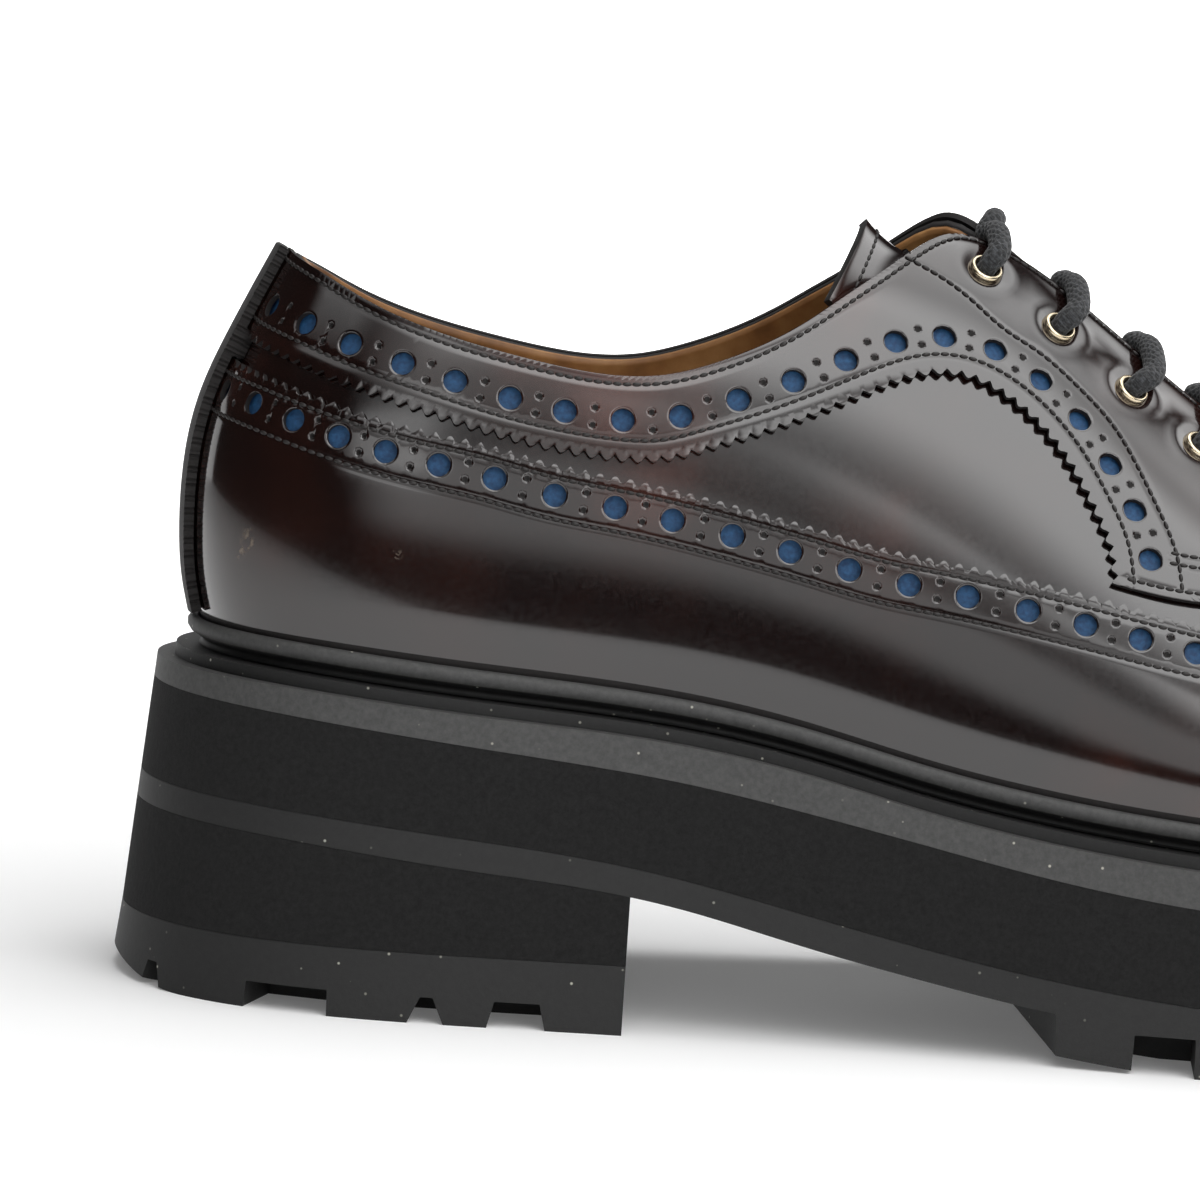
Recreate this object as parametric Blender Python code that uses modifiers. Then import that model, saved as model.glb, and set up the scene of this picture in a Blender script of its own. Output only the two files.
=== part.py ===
"""A longwing derby brogue for the right foot on a layered platform sole with lugs.

The tables and functions are in millimetres and MM turns them to metres where a
mesh is made. X runs from heel to toe, Y to the inner side of the foot and Z up.
A place on the upper is named by u, from 0 at the heel to 1 at the toe, and by
its turn in degrees, from 0 at the foot of the wall to 90 at the ridge.
"""
import math

import bmesh
import bpy
import numpy as np
from mathutils import Vector
from mathutils.geometry import delaunay_2d_cdt

MM = 0.001
LATERAL, MEDIAL = -1.0, 1.0

for old in list(bpy.data.objects):
    bpy.data.objects.remove(old, do_unlink=True)

parts = bpy.data.collections.new("brogue")
bpy.context.scene.collection.children.link(parts)
cutters = bpy.data.collections.new("cutters")
bpy.context.scene.collection.children.link(cutters)
cutters.hide_render = True

# Main sizes of the last and of the layers under it.
LAST_LENGTH = 291.0
HEEL_TO_ORIGIN = 144.4
MIDDLE_TO_ORIGIN = -0.3
NOSE_SETBACK = 15.0
TUCK, TUCK_HEIGHT = 0.05, 14.0
WALL = 2.0
OVERLAY = 1.2
GAP = 0.3
RUNNER_SPREAD, SOLE_SPREAD = 5.4, 8.4
RUNNER_WALL = 1.8
FLARE = 4.6
TREAD_START, BREAST = 146.1, 72.9
LUG_DEPTH = 6.9
LIFT_HEIGHT = 11.6

# along the last, half widths to each side, height of the ridge over the seat,
# how pointed the section is at the ridge
LAST = (
    (0.0, 0.0, 0.0, 94.0, 1.0),
    (6.0, 18.8, 18.8, 94.0, 1.0),
    (20.0, 28.4, 28.4, 94.0, 1.0),
    (45.0, 32.6, 32.4, 94.0, 1.02),
    (75.0, 34.0, 32.6, 94.3, 1.06),
    (105.0, 37.0, 33.2, 94.5, 1.14),
    (125.0, 40.0, 34.6, 92.4, 1.22),
    (150.0, 44.4, 38.0, 81.2, 1.26),
    (170.0, 47.6, 41.8, 70.3, 1.24),
    (190.0, 49.6, 45.6, 61.2, 1.16),
    (212.0, 49.8, 48.6, 52.3, 1.06),
    (240.0, 46.0, 48.6, 42.3, 1.0),
    (262.0, 37.0, 41.6, 35.8, 1.0),
    (278.0, 24.2, 28.6, 31.0, 1.0),
    (287.0, 12.6, 15.2, 27.4, 1.0),
    (291.0, 0.0, 0.0, 25.4, 1.0),
)

# along the shoe, heights over the floor of the seat and of the layers' undersides:
# rubber layer, foam platform, outsole
SOLE = (
    (-16.0, 57.0, 51.2, 34.9, 30.2),
    (5.0, 56.5, 50.1, 34.1, 29.4),
    (20.0, 55.6, 48.9, 33.1, 28.3),
    (40.0, 54.1, 47.0, 31.5, 26.4),
    (60.0, 52.8, 45.1, 29.7, 24.7),
    (80.0, 51.0, 42.8, 26.8, 21.9),
    (100.0, 47.7, 39.4, 22.6, 17.3),
    (121.0, 42.8, 35.3, 18.2, 12.9),
    (142.0, 39.1, 31.3, 14.6, 9.3),
    (166.0, 36.5, 28.2, 11.9, 6.8),
    (185.0, 35.3, 26.9, 10.7, 5.7),
    (205.0, 34.7, 26.3, 10.2, 5.2),
    (240.0, 36.0, 27.7, 11.7, 6.7),
    (270.0, 39.6, 31.3, 15.3, 10.3),
    (306.0, 47.0, 38.7, 22.7, 17.7),
)

# height over the seat, how far the back of the heel stands forward there
HEEL_CURVE = (
    (0.0, 1.6), (6.0, 0.1), (12.0, -1.4), (20.0, -2.3), (30.0, -2.3), (42.0, -0.4), (54.0, 4.2),
    (68.0, 10.6), (94.0, 23.0),
)

# along the last, turn of the upper's top edge
TOP_EDGE = (
    (0.0, 47.3), (7.5, 44.6), (17.0, 41.8), (27.0, 39.8), (36.0, 38.6), (45.0, 37.7),
    (54.5, 37.0), (63.5, 37.0), (70.5, 38.0), (77.0, 40.2), (84.0, 43.8), (90.0, 48.3),
    (95.0, 53.5), (100.5, 60.0), (106.0, 67.5), (112.0, 76.0), (118.0, 81.0), (126.0, 81.8),
    (140.0, 80.0), (152.0, 78.4), (165.0, 77.0), (178.0, 76.8), (187.0, 79.0), (198.0, 90.0),
)
FACING_END = 182.0

# along the last, turn of the wing's top edge, from the heel to its peak
WING_EDGE = (
    (0.0, 32.0), (8.3, 30.5), (18.0, 29.1), (33.4, 27.6), (46.0, 26.8), (57.0, 25.7),
    (70.0, 25.1), (88.0, 24.3), (105.0, 24.0), (114.0, 24.2), (123.0, 25.1), (140.0, 27.3),
    (152.5, 29.1), (165.0, 30.9), (185.0, 34.5), (205.0, 39.5), (222.0, 46.0), (233.0, 54.0),
    (237.0, 63.0), (235.0, 73.0), (229.0, 82.0), (222.0, 90.0),
)

# along the last, turn of the facing's lower edge, from the heel to its corner
FACING_LOWER = (
    (0.15, 35.6), (9.6, 33.4), (19.3, 31.7), (32.0, 30.1), (45.0, 28.6), (57.0, 27.7),
    (68.0, 27.6), (74.0, 28.2), (81.0, 30.3), (89.0, 33.5), (97.0, 37.6), (107.0, 44.0),
    (113.5, 47.6), (120.0, 49.3), (128.0, 49.1), (135.5, 47.1), (141.0, 44.2), (145.5, 40.6),
    (149.5, 36.6), (152.0, 31.2),
)

# along the last, turn of the facing's front edge, from that corner to the throat
FACING_FRONT = (
    (152.0, 31.2), (159.0, 32.4), (166.0, 34.2), (174.0, 38.0), (180.0, 45.0), (183.5, 54.0),
    (184.5, 64.0), (182.0, 77.0),
)

# distance out from the skin and height over the seat, round the welt's section
WELT_SECTION = (
    (2.4, 0.3), (3.5, 0.3), (2.8, 1.4), (4.0, 2.3), (4.5, 3.4), (3.9, 4.8), (2.4, 5.1),
)

# along the last and turn, one row for each pair of eyelets
EYELETS = ((121.0, 70.8), (135.5, 66.4), (150.0, 64.0), (163.5, 62.4), (176.0, 61.6))
EYELET_FLANGE, EYELET_BARREL, EYELET_BORE, EYELET_HOLE = 2.9, 2.1, 1.6, 2.5
LACE_RADIUS = 1.9


def spline(knots, values):
    """Smooth curve through a short table, straight at both ends."""
    knots, values = np.asarray(knots, float), np.asarray(values, float)
    gaps, count = np.diff(knots), len(knots)
    slopes = np.diff(values) / gaps
    matrix, right = np.eye(count), np.zeros(count)
    for i in range(1, count - 1):
        matrix[i, i - 1:i + 2] = gaps[i - 1], 2 * (gaps[i - 1] + gaps[i]), gaps[i]
        right[i] = 6 * (slopes[i] - slopes[i - 1])
    bends = np.linalg.solve(matrix, right)

    def at(x):
        x = np.asarray(x, float)
        i = np.clip(np.searchsorted(knots, x) - 1, 0, count - 2)
        t, g = x - knots[i], gaps[i]
        return (values[i] + t * (slopes[i] - g * (2 * bends[i] + bends[i + 1]) / 6)
                + t ** 2 * bends[i] / 2 + t ** 3 * (bends[i + 1] - bends[i]) / (6 * g))
    return at


def along_of(u):
    return LAST_LENGTH * (1 - np.cos(np.pi * np.asarray(u, float))) / 2


def u_of(along):
    return np.arccos(np.clip(1 - 2 * np.asarray(along, float) / LAST_LENGTH, -1, 1)) / np.pi


last_rows = np.array(LAST)
last_u = u_of(last_rows[:, 0])
half_width = {LATERAL: spline(last_u, last_rows[:, 1]), MEDIAL: spline(last_u, last_rows[:, 2])}
rise, crown = spline(last_u, last_rows[:, 3]), spline(last_u, last_rows[:, 4])
sole_rows = np.array(SOLE)
seat, rubber_under, foam_under, outsole_under = (
    spline(sole_rows[:, 0], sole_rows[:, column]) for column in (1, 2, 3, 4))
heel_curve = spline(*zip(*HEEL_CURVE))
top_rows = np.array(TOP_EDGE)
top_curve = spline(u_of(top_rows[:, 0]), top_rows[:, 1])


def top_turn(u):
    turn = np.minimum(top_curve(u), 90.0)
    return np.where(np.asarray(u) >= u_of(TOP_EDGE[-1][0]) - 1e-6, 90.0, turn)


def skin_point(u, turn, side):
    """Point on the outer face of the upper."""
    u, angle = np.broadcast_arrays(np.asarray(u, float), np.radians(np.asarray(turn, float)))
    up = rise(u) * np.sin(angle)
    pinch = 1 - TUCK * np.clip(1 - up / TUCK_HEIGHT, 0, 1) ** 2
    y = side * np.maximum(half_width[side](u), 0) * np.maximum(np.cos(angle), 0) ** crown(u) * pinch
    back = heel_curve(LAST[0][3] * np.sin(angle))
    toe = LAST_LENGTH - NOSE_SETBACK * (1 - np.cos(angle))
    x = back + (toe - back) * along_of(u) / LAST_LENGTH
    return np.stack([x, y, seat(x) + up], axis=-1)


def skin(u, turn, side, lift=0.0):
    """Point a distance out from the upper's outer face."""
    u, turn = np.broadcast_arrays(np.asarray(u, float), np.asarray(turn, float))
    inner_u, inner_turn, step = np.clip(u, 0.012, 0.988), np.clip(turn, 0.0, 88.5), 1e-3
    du = skin_point(inner_u + step, inner_turn, side) - skin_point(inner_u - step, inner_turn, side)
    dt = skin_point(inner_u, inner_turn + 0.3, side) - skin_point(inner_u, inner_turn - 0.3, side)
    normal = side * np.cross(dt, du)
    centred = (u <= 1e-6) | (u >= 1 - 1e-6) | (turn >= 90 - 1e-6)
    normal[..., 1] = np.where(centred, 0.0, normal[..., 1])
    normal /= np.linalg.norm(normal, axis=-1, keepdims=True)
    return skin_point(u, turn, side) + np.asarray(lift)[..., None] * normal


def turn_at_height(u, height):
    return np.degrees(np.arcsin(np.clip(height / rise(u), 0, 1)))


def outline(u, side, spread):
    """Plan of the last's widest line, moved out by spread."""
    u, step = np.asarray(u, float), 1e-4
    lo, hi = np.clip(u - step, 0, 1), np.clip(u + step, 0, 1)
    dx, dw = along_of(hi) - along_of(lo), half_width[side](hi) - half_width[side](lo)
    at_end = (u <= 1e-6) | (u >= 1 - 1e-6)
    dx = np.where(at_end, 0.0, dx)
    size = np.hypot(dx, dw)
    return np.stack([along_of(u) - spread * dw / size,
                     side * (half_width[side](u) * ~at_end + spread * dx / size)], axis=-1)


def wall_at(u, side, level, spread, drop=0.0):
    """Point on the sole's flared side where a level lies, or a little below it."""
    plan = outline(u, side, spread)
    for _ in range(3):
        depth = seat(plan[..., 0]) - level(plan[..., 0]) + drop
        plan = outline(u, side, spread + depth * math.tan(math.radians(FLARE)))
    return np.concatenate([plan, (level(plan[..., 0]) - drop)[..., None]], axis=-1)


def flat(height):
    """A level at one height over the floor."""
    return lambda x: np.full(np.shape(x), height)


def to_frame(points):
    """Millimetres from the heel to metres in the part's frame."""
    return (np.asarray(points) - (HEEL_TO_ORIGIN, MIDDLE_TO_ORIGIN, 0.0)) * MM


def material(name, hex_colour, roughness):
    made = bpy.data.materials.get(name)
    if made:
        return made
    made = bpy.data.materials.new(name)
    made.use_nodes = True
    shade = made.node_tree.nodes["Principled BSDF"]
    rgb = [int(hex_colour[i:i + 2], 16) / 255 for i in (0, 2, 4)]
    linear = [c / 12.92 if c <= 0.04045 else ((c + 0.055) / 1.055) ** 2.4 for c in rgb]
    shade.inputs["Base Color"].default_value = (*linear, 1.0)
    shade.inputs["Roughness"].default_value = roughness
    made.diffuse_color = (*linear, 1.0)
    return made


def finish_mesh(name, mesh, look, group=parts):
    """Weld, face out and name one mesh."""
    bmesh.ops.remove_doubles(mesh, verts=mesh.verts, dist=1e-5)
    bmesh.ops.dissolve_degenerate(mesh, edges=mesh.edges, dist=1e-7)
    bmesh.ops.recalc_face_normals(mesh, faces=mesh.faces)
    data = bpy.data.meshes.new(name)
    mesh.to_mesh(data)
    mesh.free()
    data.materials.append(look)
    made = bpy.data.objects.new(name, data)
    group.objects.link(made)
    return made


def add_grid(mesh, points, wrap_rows=False, wrap_columns=False):
    """Quads over a table of points, joined round where it wraps."""
    rows, columns = points.shape[:2]
    verts = [[mesh.verts.new(p) for p in row] for row in points]
    for i in range(rows if wrap_rows else rows - 1):
        for j in range(columns if wrap_columns else columns - 1):
            a, b = (i + 1) % rows, (j + 1) % columns
            mesh.faces.new((verts[i][j], verts[a][j], verts[a][b], verts[i][b]))
    return verts


def plate(name, look, lateral, medial):
    """Closed layer lofted through stations; each station row lists its wall from top to bottom."""
    mesh = bmesh.new()
    left = add_grid(mesh, to_frame(lateral))
    right = add_grid(mesh, to_frame(medial))
    for level in (0, -1):
        for i in range(len(left) - 1):
            mesh.faces.new((left[i][level], left[i + 1][level], right[i + 1][level], right[i][level]))
    for i in (0, -1):
        for j in range(len(left[i]) - 1):
            if (left[i][j].co - right[i][j].co).length > 1e-5 or (
                    left[i][j + 1].co - right[i][j + 1].co).length > 1e-5:
                mesh.faces.new((left[i][j], left[i][j + 1], right[i][j + 1], right[i][j]))
    return finish_mesh(name, mesh, look)


def boolean(target, cutter):
    cut = target.modifiers.new("cut", "BOOLEAN")
    cut.operation = "DIFFERENCE"
    cut.solver = "EXACT"
    cut.object = cutter


def cutter_object(name, mesh):
    made = finish_mesh(name, mesh, leather, cutters)
    made.display_type = "WIRE"
    made.hide_render = True
    return made


def solidify(target, thickness, offset):
    wall = target.modifiers.new("wall", "SOLIDIFY")
    wall.thickness = thickness * MM
    wall.offset = offset
    wall.use_even_offset = False


def face_out(made):
    """Turn a sheet so that its faces look away from the middle of the shoe."""
    outward = sum(f.normal.dot(Vector((f.center.x, f.center.y, 0.03))) for f in made.data.polygons)
    if outward < 0:
        made.data.flip_normals()


leather = material("burgundy_leather", "2A1315", 0.25)
edge_leather = material("dark_leather", "1A1012", 0.35)
lining = material("tan_leather", "8A5A2B", 0.6)
rubber = material("grey_rubber", "383838", 0.75)
foam = material("black_foam", "1E1E1E", 0.9)
brass = material("brass", "C9A878", 0.3)
cord = material("black_cord", "2B2C2E", 0.8)

# Sole layers, each a loft of stations from heel to toe.
SOLE_STATIONS = 34
stations = np.linspace(0, 1, SOLE_STATIONS + 1)


def layer(name, look, top, bottom, spread, top_drop=0.0, bottom_drop=0.0):
    walls = [np.stack([wall_at(stations, side, top, spread, top_drop),
                       wall_at(stations, side, bottom, spread, bottom_drop)], axis=1)
             for side in (LATERAL, MEDIAL)]
    return plate(name, look, *walls)


runner = layer("runner", rubber, seat, seat, RUNNER_SPREAD, 0.0, RUNNER_WALL)
rubber_layer = layer("rubber_layer", rubber, seat, rubber_under, SOLE_SPREAD, RUNNER_WALL + GAP)
platform = layer("platform", foam, rubber_under, foam_under, SOLE_SPREAD, GAP)

# The outsole follows the arch and thickens to its lugs from the tread's start.
tread_u = float(u_of(TREAD_START))
outsole_u = np.sort(np.append(stations[np.abs(stations - tread_u) > 0.008],
                              [tread_u - 0.0005, tread_u + 0.0005]))
outsole_walls = []
for side in (LATERAL, MEDIAL):
    top = wall_at(outsole_u, side, foam_under, SOLE_SPREAD, GAP)
    middle = wall_at(outsole_u, side, outsole_under, SOLE_SPREAD, -0.6)
    bottom = wall_at(outsole_u, side, outsole_under, SOLE_SPREAD)
    lugs = wall_at(outsole_u, side, outsole_under, SOLE_SPREAD, LUG_DEPTH)
    lugs[:, 2] = np.maximum(lugs[:, 2], 0.0)
    bottom[outsole_u > tread_u] = lugs[outsole_u > tread_u]
    outsole_walls.append(np.stack([top, middle, bottom], axis=1))
outsole = plate("outsole", rubber, *outsole_walls)

# Notches between the lugs at the edge, then grooves that part the lugs from the middle bars.
NOTCH_MIDDLES = (163.8, 185.5, 207.5, 229.2, 250.2)
NOTCH_WIDTH, NOTCH_LEAN, NOTCH_REACH = 10.2, 0.03, 17.0
NOTCH_OVERHANG, NOTCH_HEIGHT = 8.0, 9.0
GROOVE_HEIGHT, GROOVE_MIDDLE, ROOT_BELOW = 20.0, 1.5, 0.4
BAR_GROOVES, BAR_GROOVE_WIDTH, BAR_HALF_SPAN = (170.0, 192.0, 214.0, 236.0), 6.0, 22.0


def add_box(mesh, centre, across, size, lean=0.0):
    """Box with its X along across; its sides lean out downwards, by so much for each millimetre."""
    turn = math.atan2(across[1], across[0])
    made = bmesh.ops.create_cube(mesh, size=1.0)["verts"]
    c, s = math.cos(turn), math.sin(turn)
    for v in made:
        wide = size[1] + 2 * lean * size[2] * (0.5 - v.co.z)
        a, b, h = v.co.x * size[0] * MM, v.co.y * wide * MM, v.co.z * size[2] * MM
        v.co = Vector((c * a - s * b, s * a + c * b, h)) + Vector(to_frame(centre))


def edge_notch(mesh, along, width, lean, reach, top, side):
    """Box across the sole's edge, square to the edge at the notch's middle."""
    u = float(u_of(along))
    edge = wall_at(np.array([u]), side, flat(0.0), SOLE_SPREAD)[0]
    near = wall_at(np.array([u + 0.004]), side, flat(0.0), SOLE_SPREAD)[0] - edge
    square = np.array([near[1], -near[0], 0.0]) / np.hypot(near[0], near[1])
    square *= np.sign(square[1]) * side
    middle = edge + square * (NOTCH_OVERHANG - reach) / 2
    middle[2] = top - NOTCH_HEIGHT / 2
    add_box(mesh, middle, square, (reach + NOTCH_OVERHANG, width, NOTCH_HEIGHT), lean)


notch_mesh = bmesh.new()
for side in (LATERAL, MEDIAL):
    for along in NOTCH_MIDDLES:
        root = float(outsole_under(along)) - ROOT_BELOW
        edge_notch(notch_mesh, along, NOTCH_WIDTH, NOTCH_LEAN, NOTCH_REACH, root, side)
boolean(outsole, cutter_object("forefoot_notches", notch_mesh))
groove_mesh = bmesh.new()
for start in BAR_GROOVES:
    root = float(outsole_under(start + BAR_GROOVE_WIDTH / 2)) - ROOT_BELOW
    middle = (start + BAR_GROOVE_WIDTH / 2, GROOVE_MIDDLE, root - GROOVE_HEIGHT / 2)
    add_box(groove_mesh, middle, (1.0, 0.0),
            (BAR_GROOVE_WIDTH, 2 * BAR_HALF_SPAN, GROOVE_HEIGHT))
boolean(outsole, cutter_object("middle_grooves", groove_mesh))

# Heel: a foam wedge and a rubber top piece with its own lugs and a bevelled back.
HEEL_STATIONS = 15
BACK_BEVEL, BACK_BEVEL_REACH = 3.6, 11.0
heel_u = np.linspace(0, float(u_of(BREAST)), HEEL_STATIONS + 1)
wedge_walls, lift_walls = [], []
for side in (LATERAL, MEDIAL):
    wedge_walls.append(np.stack([
        wall_at(heel_u, side, outsole_under, SOLE_SPREAD, GAP),
        wall_at(heel_u, side, flat(LIFT_HEIGHT + GAP), SOLE_SPREAD)], axis=1))
    top = wall_at(heel_u, side, flat(LIFT_HEIGHT), SOLE_SPREAD)
    bottom = wall_at(heel_u, side, flat(0.0), SOLE_SPREAD)
    from_back = bottom[:, 0] - bottom[0, 0]
    bottom[:, 2] = BACK_BEVEL * np.clip(1 - from_back / BACK_BEVEL_REACH, 0, 1) ** 2
    lift_walls.append(np.stack([top, bottom], axis=1))
heel_wedge = plate("heel_wedge", foam, *wedge_walls)
heel_lift = plate("heel_lift", rubber, *lift_walls)
# along the last at the notch's middle, width at its top, lean of its sides
HEEL_NOTCHES = ((4.3, 2.8, 0.35), (20.0, 14.3, 0.05), (40.3, 2.1, 0.45), (54.9, 7.6, 0.25))
HEEL_NOTCH_REACH, HEEL_NOTCH_TOP = 15.0, 4.4
heel_mesh = bmesh.new()
for side in (LATERAL, MEDIAL):
    for along, width, lean in HEEL_NOTCHES:
        edge_notch(heel_mesh, along, width, lean, HEEL_NOTCH_REACH, HEEL_NOTCH_TOP, side)
boolean(heel_lift, cutter_object("heel_notches", heel_mesh))

# Welt: one section carried round the foot of the upper.
WELT_STATIONS = 30
welt_u = np.linspace(0, 1, WELT_STATIONS + 1)
welt_loops = []
for lift, height in WELT_SECTION:
    turn = turn_at_height(welt_u, height)
    near, far = skin(welt_u, turn, LATERAL, lift), skin(welt_u, turn, MEDIAL, lift)
    loop = np.concatenate([near, far[-2:0:-1]])
    loop[:, 2] = seat(loop[:, 0]) + height
    welt_loops.append(loop)
welt_mesh = bmesh.new()
add_grid(welt_mesh, to_frame(np.array(welt_loops)), wrap_rows=True, wrap_columns=True)
welt = finish_mesh("welt", welt_mesh, rubber)

# Insole: a sheet inside the foot of the upper.
INSOLE_BOTTOM, INSOLE_TOP, INSOLE_CLEAR = 0.4, 3.2, 0.7
insole_walls = []
for side in (LATERAL, MEDIAL):
    levels = []
    for height in (INSOLE_TOP, INSOLE_BOTTOM):
        wall = skin(stations, turn_at_height(stations, 1.0), side, -WALL - INSOLE_CLEAR)
        wall[:, 2] = seat(wall[:, 0]) + height
        levels.append(wall)
    insole_walls.append(np.stack(levels, axis=1))
insole = plate("insole", lining, *insole_walls)

# Upper: the skin from the foot of the wall to the top edge, both sides, one wall thick.
UPPER_ROWS = 9
# along the last where a run of stations ends, stations in the run
UPPER_RUNS = ((70.0, 8), (120.0, 14), (TOP_EDGE[-1][0], 7), (LAST_LENGTH, 10))
upper_u = np.zeros(1)
for end, count in UPPER_RUNS:
    upper_u = np.append(upper_u, np.linspace(upper_u[-1], float(u_of(end)), count + 1)[1:])
upper_mesh = bmesh.new()
for side in (LATERAL, MEDIAL):
    foot = turn_at_height(upper_u, 0.4)
    rows = np.linspace(0, 1, UPPER_ROWS + 1)
    turns = foot[:, None] + (top_turn(upper_u) - foot)[:, None] * rows[None, :]
    add_grid(upper_mesh, to_frame(skin(np.repeat(upper_u[:, None], UPPER_ROWS + 1, 1), turns, side)))
upper = finish_mesh("upper", upper_mesh, leather)
face_out(upper)
solidify(upper, WALL, -1.0)

# Panels of the overlays are cut in the flat, across u and turn, then bent on to the skin.
FLAT_U, FLAT_TURN = 400.0, 1.3


def inside(polygon, points):
    """Which points lie inside a flat polygon."""
    x, y = points[:, 0], points[:, 1]
    result = np.zeros(len(points), bool)
    for (ax, ay), (bx, by) in zip(polygon, np.roll(polygon, -1, axis=0)):
        crossing = (ay > y) != (by > y)
        with np.errstate(divide="ignore", invalid="ignore"):
            result ^= crossing & (x < (bx - ax) * (y - ay) / (by - ay) + ax)
    return result


def cut_panel(border, spacing):
    """Triangles of a flat panel, as pattern points and faces."""
    lo, hi = border.min(axis=0), border.max(axis=0)
    inner = np.stack(np.meshgrid(np.arange(lo[0], hi[0], spacing),
                                 np.arange(lo[1], hi[1], spacing)), axis=-1).reshape(-1, 2)
    inner = inner[inside(border, inner)]
    apart = np.linalg.norm(inner[:, None] - border[None], axis=-1).min(axis=1)
    points = np.concatenate([border, inner[apart > 0.55 * spacing]])
    edges = [(i, (i + 1) % len(border)) for i in range(len(border))]
    flat = delaunay_2d_cdt([Vector(p) for p in points], edges, [], 1, 1e-4)
    return np.array([tuple(p) for p in flat[0]]), flat[2]


def add_panel(mesh, pattern, faces, side, lift):
    verts = [mesh.verts.new(p) for p in
             to_frame(skin(pattern[:, 0] / FLAT_U, pattern[:, 1] / FLAT_TURN, side, lift))]
    for face in faces:
        mesh.faces.new([verts[i] for i in face])


def walk(points, count):
    """Evenly spaced places along a smooth line through a few points."""
    points = np.asarray(points, float)
    reach = np.concatenate([[0], np.cumsum(np.linalg.norm(np.diff(points, axis=0), axis=1))])
    at = np.linspace(0, reach[-1], count)
    return np.stack([spline(reach, points[:, 0])(at), spline(reach, points[:, 1])(at)], axis=-1)


def flat_line(rows, count):
    rows = np.array([(u_of(a) * FLAT_U, t * FLAT_TURN) for a, t in rows])
    line = walk(rows, count)
    line[:, 0] = np.clip(line[:, 0], rows[:, 0].min(), FLAT_U)
    line[:, 1] = np.minimum(line[:, 1], 90.0 * FLAT_TURN)
    return line


OVERLAY_LIFT = 0.6
WING_FOOT = 1.2
wing_top = flat_line(WING_EDGE, 38)
wing_top[0, 0], wing_top[-1, 1] = 0.0, 90.0 * FLAT_TURN
foot_u = np.linspace(0, 1, 31)
wing_foot = np.stack([foot_u * FLAT_U, turn_at_height(foot_u, WING_FOOT) * FLAT_TURN], axis=-1)
nose = np.stack([np.full(5, FLAT_U), np.linspace(wing_foot[-1, 1], 90.0 * FLAT_TURN, 7)[1:-1]], axis=-1)
crest = np.stack([np.linspace(FLAT_U, wing_top[-1, 0], 6)[:-1], np.full(5, 90.0 * FLAT_TURN)], axis=-1)
back_seam = np.stack([np.zeros(3), np.linspace(wing_top[0, 1], wing_foot[0, 1], 5)[1:-1]], axis=-1)
wing_border = np.concatenate([wing_foot, nose, crest, wing_top[::-1], back_seam])
wing_mesh = bmesh.new()
wing_pattern, wing_faces = cut_panel(wing_border, 10.0)
for side in (LATERAL, MEDIAL):
    add_panel(wing_mesh, wing_pattern, wing_faces, side, OVERLAY_LIFT)
wing = finish_mesh("wing", wing_mesh, leather)
face_out(wing)
solidify(wing, OVERLAY, 1.0)

facing_start = FACING_LOWER[0][0]
facing_top = [(max(a, facing_start), t) for a, t in TOP_EDGE if a < FACING_END]
facing_outer = flat_line(facing_top + [FACING_FRONT[-1]], 36)
facing_lower = flat_line(FACING_LOWER, 32)
facing_front = flat_line(FACING_FRONT, 10)
facing_back = np.linspace(facing_lower[0], facing_outer[0], 4)[1:-1]
facing_border = np.concatenate([facing_outer, facing_front[::-1][1:], facing_lower[::-1][1:], facing_back])
facing_pattern, facing_faces = cut_panel(facing_border, 8.0)
facings = {}
for side, name in ((LATERAL, "facing_lateral"), (MEDIAL, "facing_medial")):
    facing_mesh = bmesh.new()
    add_panel(facing_mesh, facing_pattern, facing_faces, side, OVERLAY_LIFT)
    facings[side] = finish_mesh(name, facing_mesh, leather)
    face_out(facings[side])
    solidify(facings[side], OVERLAY, 1.0)

# Backstay: a strip over the back seam, from the collar to the welt, on the overlays and filled
# down to the upper between them.
BACKSTAY_HALF, BACKSTAY_FOOT, BACKSTAY_TOP, BACKSTAY_FACE = 0.03, 6.8, 47.0, 3.9
# turn, lift of the strip's underside over the skin
BACKSTAY_DIP = ((32.3, 2.1), (32.7, 0.4), (35.0, 0.4), (35.3, 2.1))
dip = np.array(BACKSTAY_DIP)
strip_turns = np.concatenate([np.linspace(turn_at_height(0.0, BACKSTAY_FOOT), dip[0, 0], 8), dip[1:-1, 0],
                              np.linspace(dip[-1, 0], BACKSTAY_TOP, 5)])
strip_lifts = np.interp(strip_turns, dip[:, 0], dip[:, 1])
strip_columns = ((LATERAL, BACKSTAY_HALF), (LATERAL, BACKSTAY_HALF / 2), (LATERAL, 0.0),
                 (MEDIAL, BACKSTAY_HALF / 2), (MEDIAL, BACKSTAY_HALF))
strip_face, strip_under = (
    [skin(np.full(len(strip_turns), u), strip_turns, side, lift) for side, u in strip_columns]
    for lift in (BACKSTAY_FACE, strip_lifts))
strip_mesh = bmesh.new()
strip_verts = add_grid(strip_mesh, to_frame(np.array(strip_face + strip_under[::-1])), wrap_rows=True)
for end in (0, -1):
    for i in range(len(strip_columns) - 1):
        strip_mesh.faces.new([strip_verts[k][end] for k in (i, i + 1, -2 - i, -1 - i)])
backstay = finish_mesh("backstay", strip_mesh, edge_leather)

# Tongue: under the facings, from the throat to above the top edge.
TONGUE_LIFT, TONGUE_WALL = -3.2, 1.8
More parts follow.
